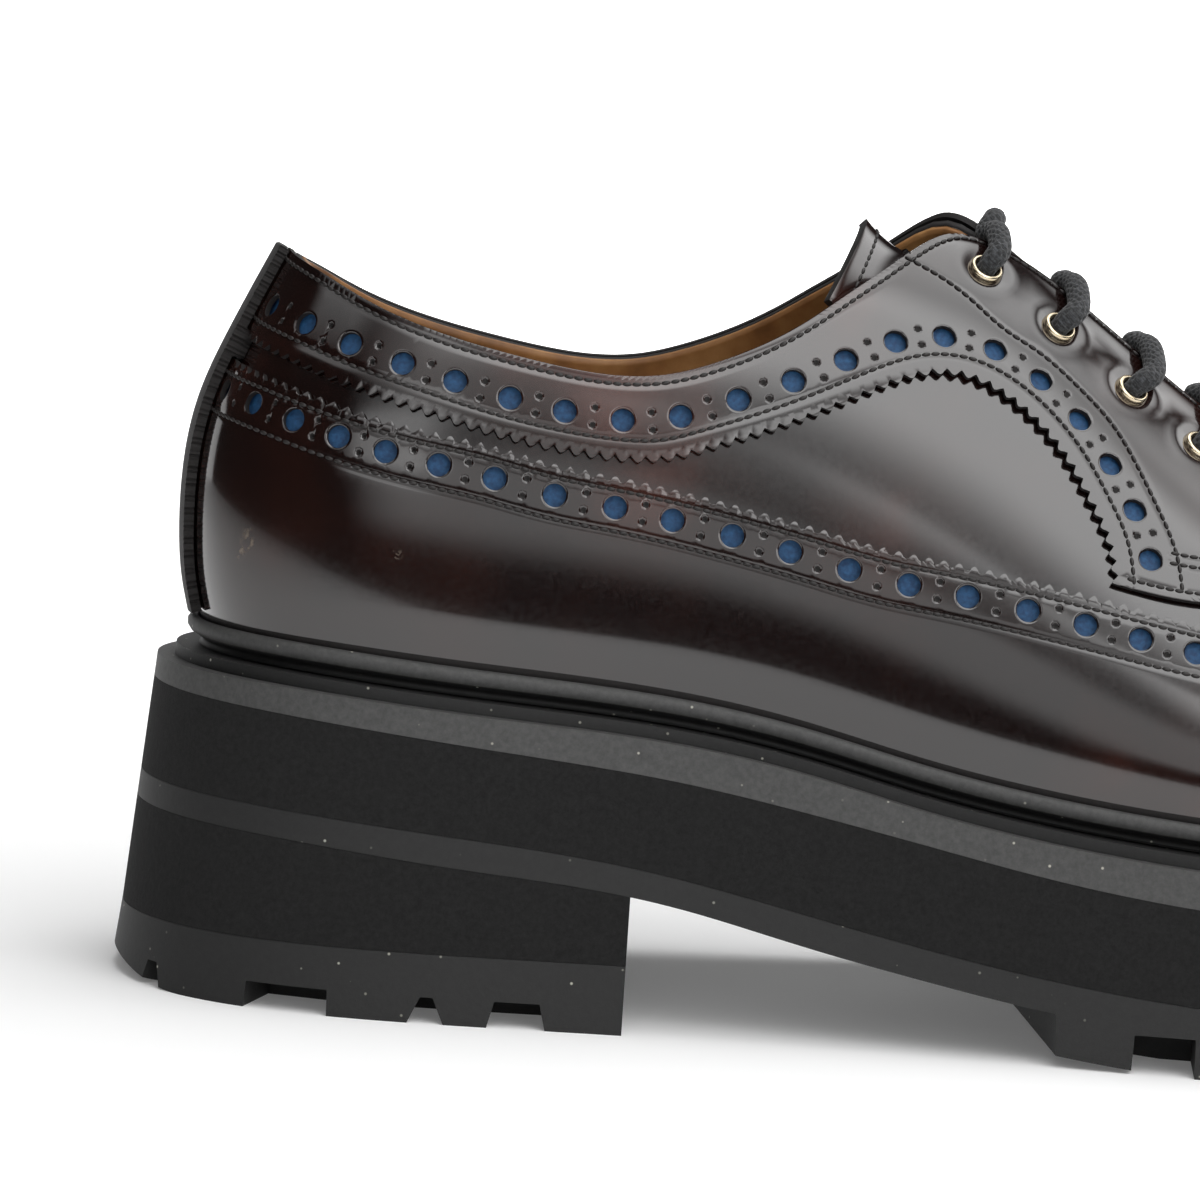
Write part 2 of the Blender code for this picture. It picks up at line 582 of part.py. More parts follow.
# along the last at the ridge and at the side edge, turn of the side edge
TONGUE = ((100.0, 91.0, 51.0), (108.0, 102.0, 50.0), (120.0, 117.0, 52.0), (138.0, 137.0, 55.0),
          (156.0, 156.0, 58.0), (174.0, 174.0, 62.0), (190.0, 190.0, 67.0))
TONGUE_ROWS = 13
tongue_table = np.array(TONGUE)
tongue_along = np.linspace(tongue_table[0, 0], tongue_table[-1, 0], TONGUE_ROWS)
tongue_edges = [spline(tongue_table[:, 0], tongue_table[:, column])(tongue_along) for column in (1, 2)]
tongue_rows = []
for ridge_along, edge_along, edge_turn in zip(tongue_along, *tongue_edges):
    across = np.linspace(0, 1, 6)
    turns = 90 - (90 - edge_turn) * across
    us = u_of(ridge_along + (edge_along - ridge_along) * across ** 2)
    near, far = skin(us, turns, LATERAL, TONGUE_LIFT), skin(us, turns, MEDIAL, TONGUE_LIFT)
    tongue_rows.append(np.concatenate([near[::-1], far[1:]]))
tongue_mesh = bmesh.new()
add_grid(tongue_mesh, to_frame(np.array(tongue_rows)))
tongue = finish_mesh("tongue", tongue_mesh, leather)
face_out(tongue)
solidify(tongue, TONGUE_WALL, -1.0)

# Eyelets: a turned ring with a flange, one for each hole, and the holes themselves.
EYELET_STEPS = 8
EYELET_PROFILE = ((EYELET_BORE, -1.2), (EYELET_BORE, 0.75), (2.2, 1.05), (EYELET_FLANGE, 0.65),
                  (EYELET_FLANGE, GAP), (EYELET_BARREL, GAP), (EYELET_BARREL, -1.2))
holes = {LATERAL: bmesh.new(), MEDIAL: bmesh.new()}
lace_ends = []
for number, (along, turn) in enumerate(EYELETS, start=1):
    for side, name in ((LATERAL, "eyelet_lateral_"), (MEDIAL, "eyelet_medial_")):
        u = float(u_of(along))
        low = Vector(to_frame(skin(u, turn, side, 0.0)))
        face = Vector(to_frame(skin(u, turn, side, OVERLAY_LIFT + OVERLAY)))
        axis = (face - low).normalized()
        spin = axis.to_track_quat("Z", "Y").to_matrix()
        ring_mesh = bmesh.new()
        rings = []
        for step in range(EYELET_STEPS):
            a = 2 * math.pi * step / EYELET_STEPS
            rings.append([face + spin @ Vector((r * math.cos(a), r * math.sin(a), h)) * MM
                          for r, h in EYELET_PROFILE])
        add_grid(ring_mesh, np.array(rings), wrap_rows=True, wrap_columns=True)
        finish_mesh(name + str(number), ring_mesh, brass)
        drill = bmesh.ops.create_cone(holes[side], cap_ends=True, segments=12, radius1=EYELET_HOLE * MM,
                                      radius2=EYELET_HOLE * MM, depth=9.0 * MM)["verts"]
        for v in drill:
            v.co = face + spin @ v.co
for side, name in ((LATERAL, "lateral_holes"), (MEDIAL, "medial_holes")):
    drill = cutter_object(name, holes[side])
    boolean(facings[side], drill)
    boolean(upper, drill)

# Lace: one bar over the throat for each pair of eyelets, its middle slipped a little forward.
LACE_LIFT, LACE_POINTS, LACE_SIDES = 4.9, 5, 8
LACE_SLIPS = (1.6, 2.4, 3.2, 3.2, 3.2)
lace_shares = np.linspace(0, 1, LACE_POINTS)
for number, ((along, turn), slip) in enumerate(zip(EYELETS, LACE_SLIPS), start=1):
    us = u_of(along + slip * np.minimum(lace_shares / 0.2, 1.0))
    turns = turn + (90 - turn) * lace_shares
    near, far = skin(us, turns, LATERAL, LACE_LIFT), skin(us, turns, MEDIAL, LACE_LIFT)
    path = to_frame(np.concatenate([near, far[-2::-1]]))
    bar_mesh = bmesh.new()
    tangents = np.gradient(path, axis=0)
    loops = []
    for point, tangent in zip(path, tangents):
        spin = Vector(tangent).to_track_quat("Z", "X").to_matrix()
        loops.append([Vector(point) + spin @ Vector((math.cos(a), math.sin(a), 0)) * LACE_RADIUS * MM
                      for a in (2 * math.pi * k / LACE_SIDES for k in range(LACE_SIDES))])
    verts = add_grid(bar_mesh, np.array(loops), wrap_columns=True)
    bar_mesh.faces.new(verts[0])
    bar_mesh.faces.new(verts[-1])
    finish_mesh("lace_bar_" + str(number), bar_mesh, cord)
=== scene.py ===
import math

import bmesh
import bpy
import numpy as np
from mathutils import Matrix, Vector
from mathutils.geometry import delaunay_2d_cdt


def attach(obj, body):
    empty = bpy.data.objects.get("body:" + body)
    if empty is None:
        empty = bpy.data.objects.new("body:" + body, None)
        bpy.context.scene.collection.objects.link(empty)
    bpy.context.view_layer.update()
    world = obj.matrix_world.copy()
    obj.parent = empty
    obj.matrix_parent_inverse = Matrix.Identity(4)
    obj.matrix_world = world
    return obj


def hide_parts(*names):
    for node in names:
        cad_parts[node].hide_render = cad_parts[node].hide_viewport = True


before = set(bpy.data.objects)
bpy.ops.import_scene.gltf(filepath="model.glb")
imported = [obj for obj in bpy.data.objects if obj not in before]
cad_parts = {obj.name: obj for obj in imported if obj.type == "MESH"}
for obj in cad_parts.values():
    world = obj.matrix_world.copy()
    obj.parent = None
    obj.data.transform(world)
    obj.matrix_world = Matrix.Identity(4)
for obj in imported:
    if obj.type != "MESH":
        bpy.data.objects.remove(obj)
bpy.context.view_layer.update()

# Insole: a board with a tan calf sock glued over it, cut to the plan of the last.
# It lies on the sole inside the upper, and the last it was cut for gives every
# other piece its shape. Sizes are millimetres from the back of the heel.
MM = 0.001
LATERAL, MEDIAL = -1.0, 1.0
LAST_LENGTH, NOSE_SETBACK = 291.0, 15.0
HEEL_TO_ORIGIN, MIDDLE_TO_ORIGIN = 144.4, -0.3
TUCK, TUCK_HEIGHT = 0.05, 14.0
# along the last, half width to each side, height of the ridge, how pointed it is
LAST = (
    (0.0, 0.0, 0.0, 94.0, 1.0), (6.0, 18.8, 18.8, 94.0, 1.0), (20.0, 28.4, 28.4, 94.0, 1.0),
    (45.0, 32.6, 32.4, 94.0, 1.02), (75.0, 34.0, 32.6, 94.3, 1.06), (105.0, 37.0, 33.2, 94.5, 1.14),
    (125.0, 40.0, 34.6, 92.4, 1.22), (150.0, 44.4, 38.0, 81.2, 1.26), (170.0, 47.6, 41.8, 70.3, 1.24),
    (190.0, 49.6, 45.6, 61.2, 1.16), (212.0, 49.8, 48.6, 52.3, 1.06), (240.0, 46.0, 48.6, 42.3, 1.0),
    (262.0, 37.0, 41.6, 35.8, 1.0), (278.0, 24.2, 28.6, 31.0, 1.0), (287.0, 12.6, 15.2, 27.4, 1.0),
    (291.0, 0.0, 0.0, 25.4, 1.0),
)
# along the shoe, height of the seat over the floor
SEAT = (
    (-16.0, 57.0), (5.0, 56.5), (20.0, 55.6), (40.0, 54.1), (60.0, 52.8), (80.0, 51.0), (100.0, 47.7),
    (121.0, 42.8), (142.0, 39.1), (166.0, 36.5), (185.0, 35.3), (205.0, 34.7), (240.0, 36.0),
    (270.0, 39.6), (306.0, 47.0),
)
# height over the seat, how far forward the back of the heel stands there
HEEL_CURVE = (
    (0.0, 1.6), (6.0, 0.1), (12.0, -1.4), (20.0, -2.3), (30.0, -2.3), (42.0, -0.4), (54.0, 4.2),
    (68.0, 10.6), (94.0, 23.0),
)
INSOLE_TOP, INSOLE_THICK, INSOLE_CLEAR = 3.2, 2.6, 2.7
TAN, TAN_WORN, TAN_DARK = "8F6236", "A87B4A", "6E4825"


def spline(knots, values):
    """Smooth curve through a short table, straight at both ends."""
    knots, values = np.asarray(knots, float), np.asarray(values, float)
    gaps, count = np.diff(knots), len(knots)
    slopes = np.diff(values) / gaps
    matrix, right = np.eye(count), np.zeros(count)
    for i in range(1, count - 1):
        matrix[i, i - 1:i + 2] = gaps[i - 1], 2 * (gaps[i - 1] + gaps[i]), gaps[i]
        right[i] = 6 * (slopes[i] - slopes[i - 1])
    bends = np.linalg.solve(matrix, right)

    def at(x):
        x = np.asarray(x, float)
        i = np.clip(np.searchsorted(knots, x) - 1, 0, count - 2)
        t, g = x - knots[i], gaps[i]
        return (values[i] + t * (slopes[i] - g * (2 * bends[i] + bends[i + 1]) / 6)
                + t ** 2 * bends[i] / 2 + t ** 3 * (bends[i + 1] - bends[i]) / (6 * g))
    return at


def along_of(u):
    return LAST_LENGTH * (1 - np.cos(np.pi * np.asarray(u, float))) / 2


def u_of(along):
    return np.arccos(np.clip(1 - 2 * np.asarray(along, float) / LAST_LENGTH, -1, 1)) / np.pi


last_rows = np.array(LAST)
last_u = u_of(last_rows[:, 0])
half_width = {LATERAL: spline(last_u, last_rows[:, 1]), MEDIAL: spline(last_u, last_rows[:, 2])}
rise, crown = spline(last_u, last_rows[:, 3]), spline(last_u, last_rows[:, 4])
seat, heel_curve = spline(*zip(*SEAT)), spline(*zip(*HEEL_CURVE))


def skin_point(u, turn, side):
    """Point on the last's skin: u runs from heel to toe, turn from the foot of the wall to the ridge."""
    u, angle = np.broadcast_arrays(np.asarray(u, float), np.radians(np.asarray(turn, float)))
    up = rise(u) * np.sin(angle)
    pinch = 1 - TUCK * np.clip(1 - up / TUCK_HEIGHT, 0, 1) ** 2
    y = side * np.maximum(half_width[side](u), 0) * np.maximum(np.cos(angle), 0) ** crown(u) * pinch
    back = heel_curve(LAST[0][3] * np.sin(angle))
    toe = LAST_LENGTH - NOSE_SETBACK * (1 - np.cos(angle))
    x = back + (toe - back) * along_of(u) / LAST_LENGTH
    return np.stack([x, y, seat(x) + up], axis=-1)


def skin_normal(u, turn, side):
    u, turn = np.broadcast_arrays(np.asarray(u, float), np.asarray(turn, float))
    inner_u, inner_turn, step = np.clip(u, 0.012, 0.988), np.clip(turn, 0.0, 88.5), 1e-3
    du = skin_point(inner_u + step, inner_turn, side) - skin_point(inner_u - step, inner_turn, side)
    dt = skin_point(inner_u, inner_turn + 0.3, side) - skin_point(inner_u, inner_turn - 0.3, side)
    normal = side * np.cross(dt, du)
    centred = (u <= 1e-6) | (u >= 1 - 1e-6) | (turn >= 90 - 1e-6)
    normal[..., 1] = np.where(centred, 0.0, normal[..., 1])
    return normal / np.linalg.norm(normal, axis=-1, keepdims=True)


def skin(u, turn, side, lift=0.0):
    """Point a distance out from the last's skin."""
    return skin_point(u, turn, side) + np.asarray(lift)[..., None] * skin_normal(u, turn, side)


def turn_at_height(u, height):
    return np.degrees(np.arcsin(np.clip(height / rise(u), 0, 1)))


def to_frame(points):
    """Millimetres from the heel to metres in the part's frame."""
    return (np.asarray(points) - (HEEL_TO_ORIGIN, MIDDLE_TO_ORIGIN, 0.0)) * MM


def bent_grid(mesh, steps, place):
    """Flat grid bent to shape: place turns each point's two shares of the grid into millimetres."""
    made = bmesh.ops.create_grid(mesh, x_segments=steps[0], y_segments=steps[1], size=0.5)["verts"]
    shares = np.array([v.co[:2] for v in made]) + 0.5
    for vert, point in zip(made, to_frame(place(shares[:, 0], shares[:, 1]))):
        vert.co = point
    return made


def face_out(mesh):
    """Turns a sheet so that its faces look away from the middle of the shoe."""
    bmesh.ops.recalc_face_normals(mesh, faces=mesh.faces)
    outward = sum(f.normal.dot(Vector((*f.calc_center_median()[:2], 0.03))) * f.calc_area()
                  for f in mesh.faces)
    if outward < 0:
        bmesh.ops.reverse_faces(mesh, faces=mesh.faces)


def add_piece(name, mesh, looks, slot, nodes=(), sharp=40.0, sheet=False, wall=0.0, offset=-1.0, bevel=0.0):
    """Makes a mesh one piece on the root body, standing for the nodes named."""
    bmesh.ops.remove_doubles(mesh, verts=mesh.verts, dist=2e-6)
    bmesh.ops.dissolve_degenerate(mesh, edges=mesh.edges, dist=1e-7)
    if sheet:
        face_out(mesh)
    else:
        bmesh.ops.recalc_face_normals(mesh, faces=mesh.faces)
    data = bpy.data.meshes.new(name)
    mesh.to_mesh(data)
    mesh.free()
    for look in looks:
        data.materials.append(look)
    data.shade_smooth()
    data.set_sharp_from_angle(angle=math.radians(sharp))
    made = bpy.data.objects.new(name, data)
    bpy.context.scene.collection.objects.link(made)
    if wall:
        thick = made.modifiers.new("wall", "SOLIDIFY")
        thick.thickness, thick.offset = wall * MM, offset
        thick.material_offset_rim = min(len(looks) - 1, 1)
    if bevel:
        edge = made.modifiers.new("edge", "BEVEL")
        edge.width, edge.segments, edge.limit_method = bevel * MM, 2, "ANGLE"
        edge.angle_limit = math.radians(sharp)
    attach(made, "root")
    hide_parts(*nodes)
    return made


def linear(hex_colour):
    """sRGB hex to linear red, green, blue and alpha."""
    rgb = [int(hex_colour[i:i + 2], 16) / 255 for i in (0, 2, 4)]
    return (*(c / 12.92 if c <= 0.04045 else ((c + 0.055) / 1.055) ** 2.4 for c in rgb), 1.0)


def per_mm(size):
    """Texture scale at which one cell is this many millimetres."""
    return 1.0 / (size * MM)


def add_node(tree, kind, inputs=(), **settings):
    """Adds one node with its settings; inputs are (socket, value or another node's output)."""
    node = tree.nodes.new("ShaderNode" + kind)
    for name, value in settings.items():
        setattr(node, name, value)
    for socket, value in inputs:
        if isinstance(value, bpy.types.NodeSocket):
            tree.links.new(value, node.inputs[socket])
        else:
            node.inputs[socket].default_value = value
    return node


def new_material(name, roughness, **sockets):
    """Material with its constant values set on the shader's own sockets."""
    made = bpy.data.materials.new(name)
    made.use_nodes = True
    shade = made.node_tree.nodes["Principled BSDF"]
    shade.inputs["Roughness"].default_value = roughness
    for socket, value in sockets.items():
        shade.inputs[socket.replace("_", " ")].default_value = value
    return made, made.node_tree, shade


# Vegetable-tanned lining calf: matt, with cloudy handling and fine pores that catch the light.
lining_calf, tree, shade = new_material("tan_lining_calf", 0.55)
where = add_node(tree, "TexCoord").outputs["Object"]
cloud = add_node(tree, "TexNoise", (("Vector", where), ("Scale", per_mm(9.0)), ("Detail", 6.0)))
tone = add_node(tree, "ValToRGB", (("Fac", cloud.outputs["Fac"]),))
tone.color_ramp.elements[0].position, tone.color_ramp.elements[1].position = 0.32, 0.7
tone.color_ramp.elements[0].color, tone.color_ramp.elements[1].color = linear(TAN_DARK), linear(TAN_WORN)
tone.color_ramp.elements.new(0.5).color = linear(TAN)
tree.links.new(tone.outputs["Color"], shade.inputs["Base Color"])
pores = add_node(tree, "TexVoronoi", (("Vector", where), ("Scale", per_mm(0.5))))
dimple = add_node(tree, "Bump", (("Height", pores.outputs["Distance"]), ("Strength", 0.25),
                                 ("Distance", 0.05 * MM)))
tree.links.new(dimple.outputs["Normal"], shade.inputs["Normal"])


def insole_place(s, t):
    edges = [skin(s, turn_at_height(s, 1.0), side, np.full_like(s, -INSOLE_CLEAR))
             for side in (LATERAL, MEDIAL)]
    spot = edges[0] + (edges[1] - edges[0]) * t[:, None]
    spot[:, 2] = seat(spot[:, 0]) + INSOLE_TOP
    return spot


insole_mesh = bmesh.new()
bent_grid(insole_mesh, (120, 16), insole_place)
add_piece("insole_sock", insole_mesh, [lining_calf], "tan_leather", ["insole"], sheet=True,
          wall=INSOLE_THICK)

# Upper: vamp and quarters, one wall of polished burgundy calf lasted over the
# insole and sewn to the welt, with a tan lining glued to its inside.
# along the last, turn of the upper's top edge
TOP_EDGE = (
    (0.0, 47.3), (7.5, 44.6), (17.0, 41.8), (27.0, 39.8), (36.0, 38.6), (45.0, 37.7), (54.5, 37.0),
    (63.5, 37.0), (70.5, 38.0), (77.0, 40.2), (84.0, 43.8), (90.0, 48.3), (95.0, 53.5), (100.5, 60.0),
    (106.0, 67.5), (112.0, 76.0), (118.0, 81.0), (126.0, 81.8), (140.0, 80.0), (152.0, 78.4),
    (165.0, 77.0), (178.0, 76.8), (187.0, 79.0), (198.0, 90.0),
)
UPPER_WALL, LINING_WALL = 1.15, 0.8
UPPER_STEPS, QUARTER_STEPS = (150, 40), 107
STAND_OPEN, STAND_AT, STAND_SPREAD = 4.0, 113.0, 12.0
NEAR_BLACK, BURGUNDY, OXBLOOD, SCUFF_PALE = "120807", "1F0E0A", "44221A", "6E6050"
# along the last, turn, radius of a place where the finish is rubbed thin
RUBBED = ((72.0, 22.3, 16.0), (38.0, 13.6, 18.0), (146.0, 8.1, 16.0), (62.5, 33.7, 12.0))
RUB_STRENGTH = 0.13
# along the last, turn, radius of a scuff
SCUFFS = ((9.0, 12.8, 2.8), (7.7, 11.3, 1.8), (32.3, 13.6, 1.6))
top_rows = np.array(TOP_EDGE)
top_curve = spline(u_of(top_rows[:, 0]), top_rows[:, 1])
THROAT_U = float(u_of(TOP_EDGE[-1][0]))


def top_turn(u):
    return np.where(np.asarray(u) >= THROAT_U - 1e-6, 90.0, np.minimum(top_curve(u), 90.0))


def stand_open(u, turn, side):
    """How far the inner side springs off the foot at the top of the throat."""
    near = np.exp(-((along_of(u) - STAND_AT) / STAND_SPREAD) ** 2)
    return (side == MEDIAL) * STAND_OPEN * near * np.clip((turn - 50.0) / 28.0, 0, 1)


def upper_place(side, lift):
    # the stations double up on the throat, so that its corner stays a corner
    stations = np.concatenate([np.linspace(0, THROAT_U, QUARTER_STEPS + 1)[:-1],
                               np.linspace(THROAT_U, 1, UPPER_STEPS[0] - QUARTER_STEPS + 1)])

    def place(s, t):
        u = np.interp(s, np.linspace(0, 1, len(stations)), stations)
        foot = turn_at_height(u, 0.4)
        turn = foot + (top_turn(u) - foot) * t
        return skin(u, turn, side, lift + stand_open(u, turn, side))
    return place


def near_spots(tree, where, spots):
    """Value that rises softly to 1 at each of a few places on the outer side."""
    total = 0.0
    for along, turn, radius in spots:
        spot = tuple(to_frame(skin(u_of(along), turn, LATERAL, 1.8)))
        away = add_node(tree, "VectorMath", ((0, where), (1, spot)), operation="DISTANCE")
        near = add_node(tree, "MapRange", (("Value", away.outputs["Value"]), ("From Max", radius * MM),
                                           ("To Min", 1.0), ("To Max", 0.0)),
                        interpolation_type="SMOOTHSTEP")
        nearest = add_node(tree, "Math", ((0, total), (1, near.outputs["Result"])), operation="MAXIMUM")
        total = nearest.outputs[0]
    return total


# Bookbinder calf: a hard polished finish, near black where it is thick and oxblood
# where it was rubbed thin, with a few pale scuffs. It mirrors the lights almost sharply.
polished_calf, tree, shade = new_material("polished_burgundy_calf", 0.12, IOR=1.7, Coat_Weight=0.5,
                                          Coat_Roughness=0.05)
where = add_node(tree, "TexCoord").outputs["Object"]
cloud = add_node(tree, "TexNoise", (("Vector", where), ("Scale", per_mm(45.0)), ("Detail", 3.0),
                                    ("Roughness", 0.5)))
rubbed = add_node(tree, "Math", ((0, near_spots(tree, where, RUBBED)), (1, RUB_STRENGTH),
                                 (2, cloud.outputs["Fac"])), operation="MULTIPLY_ADD")
tone = add_node(tree, "ValToRGB", (("Fac", rubbed.outputs[0]),))
tone.color_ramp.elements[0].position, tone.color_ramp.elements[1].position = 0.47, 0.78
tone.color_ramp.elements[0].color, tone.color_ramp.elements[1].color = linear(NEAR_BLACK), linear(OXBLOOD)
tone.color_ramp.elements.new(0.6).color = linear(BURGUNDY)
fleck = add_node(tree, "TexNoise", (("Vector", where), ("Scale", per_mm(1.4)), ("Detail", 5.0)))
chipped = add_node(tree, "MapRange", (("Value", fleck.outputs["Fac"]), ("From Min", 0.5), ("From Max", 0.6)))
scuffed = add_node(tree, "Math", ((0, near_spots(tree, where, SCUFFS)), (1, chipped.outputs["Result"])),
                   operation="MULTIPLY")
mixed = add_node(tree, "Mix", ((0, scuffed.outputs[0]), (6, tone.outputs["Color"]), (7, linear(SCUFF_PALE))),
                 data_type="RGBA")
tree.links.new(mixed.outputs[2], shade.inputs["Base Color"])
grain = add_node(tree, "TexNoise", (("Vector", where), ("Scale", per_mm(0.8)), ("Detail", 3.0)))
gloss = add_node(tree, "MapRange", (("Value", grain.outputs["Fac"]), ("From Min", 0.3), ("From Max", 0.7),
                                    ("To Min", 0.09), ("To Max", 0.14)))
dulled = add_node(tree, "Math", ((0, scuffed.outputs[0]), (1, 0.4), (2, gloss.outputs["Result"])),
                  operation="MULTIPLY_ADD")
tree.links.new(dulled.outputs[0], shade.inputs["Roughness"])
filled = add_node(tree, "Bump", (("Height", grain.outputs["Fac"]), ("Strength", 0.1),
                                 ("Distance", 0.02 * MM)))
tree.links.new(filled.outputs["Normal"], shade.inputs["Normal"])

# Cut edge of the calf: raw and inked black, dull beside the polished face.
inked_edge, tree, shade = new_material("inked_cut_edge", 0.7)
where = add_node(tree, "TexCoord").outputs["Object"]
fibre = add_node(tree, "TexNoise", (("Vector", where), ("Scale", per_mm(0.5)), ("Detail", 3.0)))
tone = add_node(tree, "ValToRGB", (("Fac", fibre.outputs["Fac"]),))
tone.color_ramp.elements[0].color, tone.color_ramp.elements[1].color = linear("080606"), linear("1E1918")
tree.links.new(tone.outputs["Color"], shade.inputs["Base Color"])
nap = add_node(tree, "Bump", (("Height", fibre.outputs["Fac"]), ("Strength", 0.5), ("Distance", 0.15 * MM)))
tree.links.new(nap.outputs["Normal"], shade.inputs["Normal"])

for name, lift, wall, looks, slot, nodes in (
        ("vamp_and_quarters", 0.0, UPPER_WALL, [polished_calf, inked_edge], "burgundy_leather", ["upper"]),
        ("lining", -UPPER_WALL - 0.05, LINING_WALL, [lining_calf], "tan_leather", [])):
    shell_mesh = bmesh.new()
    for side in (LATERAL, MEDIAL):
        bent_grid(shell_mesh, UPPER_STEPS, upper_place(side, lift))
    add_piece(name, shell_mesh, looks, slot, nodes, sheet=True, wall=wall)

# Wing: the long overlay of the same calf, cut with a pinked top edge and a row of
# round punched holes, and sewn over vamp and quarters from the toe round to the heel.
# along the last, turn of the wing's top edge, from the heel to its peak
WING_EDGE = (
    (0.0, 32.0), (8.3, 30.5), (18.0, 29.1), (33.4, 27.6), (46.0, 26.8), (57.0, 25.7), (70.0, 25.1),
    (88.0, 24.3), (105.0, 24.0), (114.0, 24.2), (123.0, 25.1), (140.0, 27.3), (152.5, 29.1), (165.0, 30.9),
    (185.0, 34.5), (205.0, 39.5), (222.0, 46.0), (233.0, 54.0), (237.0, 63.0), (235.0, 73.0), (229.0, 82.0),
    (222.0, 90.0),
)
# The wing's foot, up to the second height over the seat, is painted near black with the cut-edge material:
# painted shade above the welt.
WING_FOOT, WING_SHADE_BAND = 1.2, 6.4
OVERLAY_LOW, OVERLAY_HIGH = 0.6, 1.8
PINK_PITCH, PINK_DEPTH, PINK_STEPS = 2.6, 1.1, 6
HOLE_RADIUS, HOLE_PITCH, HOLE_SIDES = 2.0, 9.9, 24
PINHOLE_RADIUS, PINHOLE_APART, PINHOLE_DEPTH, PINHOLE_SIDES = 0.55, 3.0, 0.9, 8
WING_HOLE_DROP = 5.3
# distance of each large hole along its row, from the back of the heel
WING_HOLES = (
    11.0, 21.6, 31.0, 39.7, 48.2, 57.5, 67.2, 77.7, 88.1, 98.0, 108.4, 118.5, 128.9, 139.3, 149.4, 159.8,
    169.8, 179.4, 189.0,
)
EDGE_ROW, WING_LOW_ROW, FURROW_DEPTH, FURROW_HALF = 2.4, 9.3, 0.11, 0.6
FURROW_GUIDES, STRIP_COVER = (-2.2, -0.8, 0.0, 0.8, 2.2), 0.035
RIM_ROUND, RIM_WIDTH, RIM_CLEAR = 0.25, 0.45, 0.3
PANEL_SPACING = 1.9
FLAT_U, FLAT_TURN = 400.0, 1.3


def on_skin(pattern, side, lift):
    """Flat pattern points bent on to the skin."""
    return skin(pattern[:, 0] / FLAT_U, pattern[:, 1] / FLAT_TURN, side, np.broadcast_to(lift, len(pattern)))


def shift(pattern, moves, side):
    """Moves pattern points by millimetres along the skin."""
    step = 0.05
    across = []
    for d in (np.array([step, 0.0]), np.array([0.0, step])):
        ahead, behind = (on_skin(pattern + way * d, side, OVERLAY_HIGH) for way in (1, -1))
        across.append((ahead - behind) / (2 * step))
    a, b, c = ((across[i] * across[j]).sum(1) for i, j in ((0, 0), (0, 1), (1, 1)))
    p, q = ((moves * across[i]).sum(1) for i in (0, 1))
    det = np.maximum(a * c - b * b, 1e-9)
    return pattern + np.stack([(c * p - b * q) / det, (a * q - b * p) / det], axis=-1)


def flat_row(rows):
    return np.array([(float(u_of(a)) * FLAT_U, t * FLAT_TURN) for a, t in rows])


def walk(points, side, spacing, dense=1200):
    """Points at even millimetres along a smooth row on the skin."""
    reach = np.concatenate([[0], np.cumsum(np.linalg.norm(np.diff(points, axis=0), axis=1))])
    at = np.linspace(0, reach[-1], dense)
    line = np.stack([spline(reach, points[:, 0])(at), spline(reach, points[:, 1])(at)], axis=-1)
    line[:, 0] = np.clip(line[:, 0], 0, FLAT_U)
    line[:, 1] = np.minimum(line[:, 1], 90.0 * FLAT_TURN)
    spots = on_skin(line, side, OVERLAY_HIGH)
    gone = np.concatenate([[0], np.cumsum(np.linalg.norm(np.diff(spots, axis=0), axis=1))])
    count = max(int(round(gone[-1] / spacing)), 1)
    even = np.linspace(0, gone[-1], count + 1)
    return np.stack([np.interp(even, gone, line[:, 0]), np.interp(even, gone, line[:, 1])], axis=-1)


def headings(pattern, side):
    """Unit vectors along a row and across it to its left, in millimetres on the skin."""
    spots = on_skin(pattern, side, OVERLAY_HIGH)
    ahead = np.gradient(spots, axis=0)
    ahead /= np.maximum(np.linalg.norm(ahead, axis=1, keepdims=True), 1e-9)
    normal = skin_normal(pattern[:, 0] / FLAT_U, pattern[:, 1] / FLAT_TURN, side)
    left = np.cross(normal, ahead) * -side
    return ahead, left / np.maximum(np.linalg.norm(left, axis=1, keepdims=True), 1e-9), normal


def beside(pattern, side, distance):
    """The row moved to its left, in short steps, so that it stays even round a bend."""
    steps = max(int(np.ceil(abs(np.max(distance)) / 1.5)), 1)
    each = np.broadcast_to(distance, len(pattern))[:, None]
    for _ in range(steps):
        pattern = shift(pattern, headings(pattern, side)[1] * each / steps, side)
    return pattern


def pinked(points, side):
    """Row cut with pinking shears: even teeth, their tips on the row, plain under the back strip."""
    line = walk(points, side, PINK_PITCH / PINK_STEPS)
    share = np.abs((np.arange(len(line)) / PINK_STEPS + 0.5) % 1.0 - 0.5) * 2
    bite = -PINK_DEPTH * np.sin(share * np.pi / 2) ** 1.5
    bite[[0, -1]] = 0.0
    bite[line[:, 0] < STRIP_COVER * FLAT_U] = 0.0
    return shift(line, headings(line, side)[1] * bite[:, None], side)


def ring(centre, side, radius, count):
    """Round outline on the skin about one pattern point."""
    spots = np.repeat(np.asarray(centre)[None], count, 0)
    ahead, left, _ = headings(np.array([centre, np.asarray(centre) + (0.2, 0.0)]), side)
    turns = 2 * np.pi * np.arange(count) / count
    moves = np.cos(turns)[:, None] * ahead[0] + np.sin(turns)[:, None] * left[0]
    return shift(spots, radius * moves, side)


def inside(polygon, points):
    x, y = points[:, 0], points[:, 1]
    result = np.zeros(len(points), bool)
    for (ax, ay), (bx, by) in zip(polygon, np.roll(polygon, -1, axis=0)):
        crossing = (ay > y) != (by > y)
        with np.errstate(divide="ignore", invalid="ignore"):
            result ^= crossing & (x < (bx - ax) * (y - ay) / (by - ay) + ax)
    return result


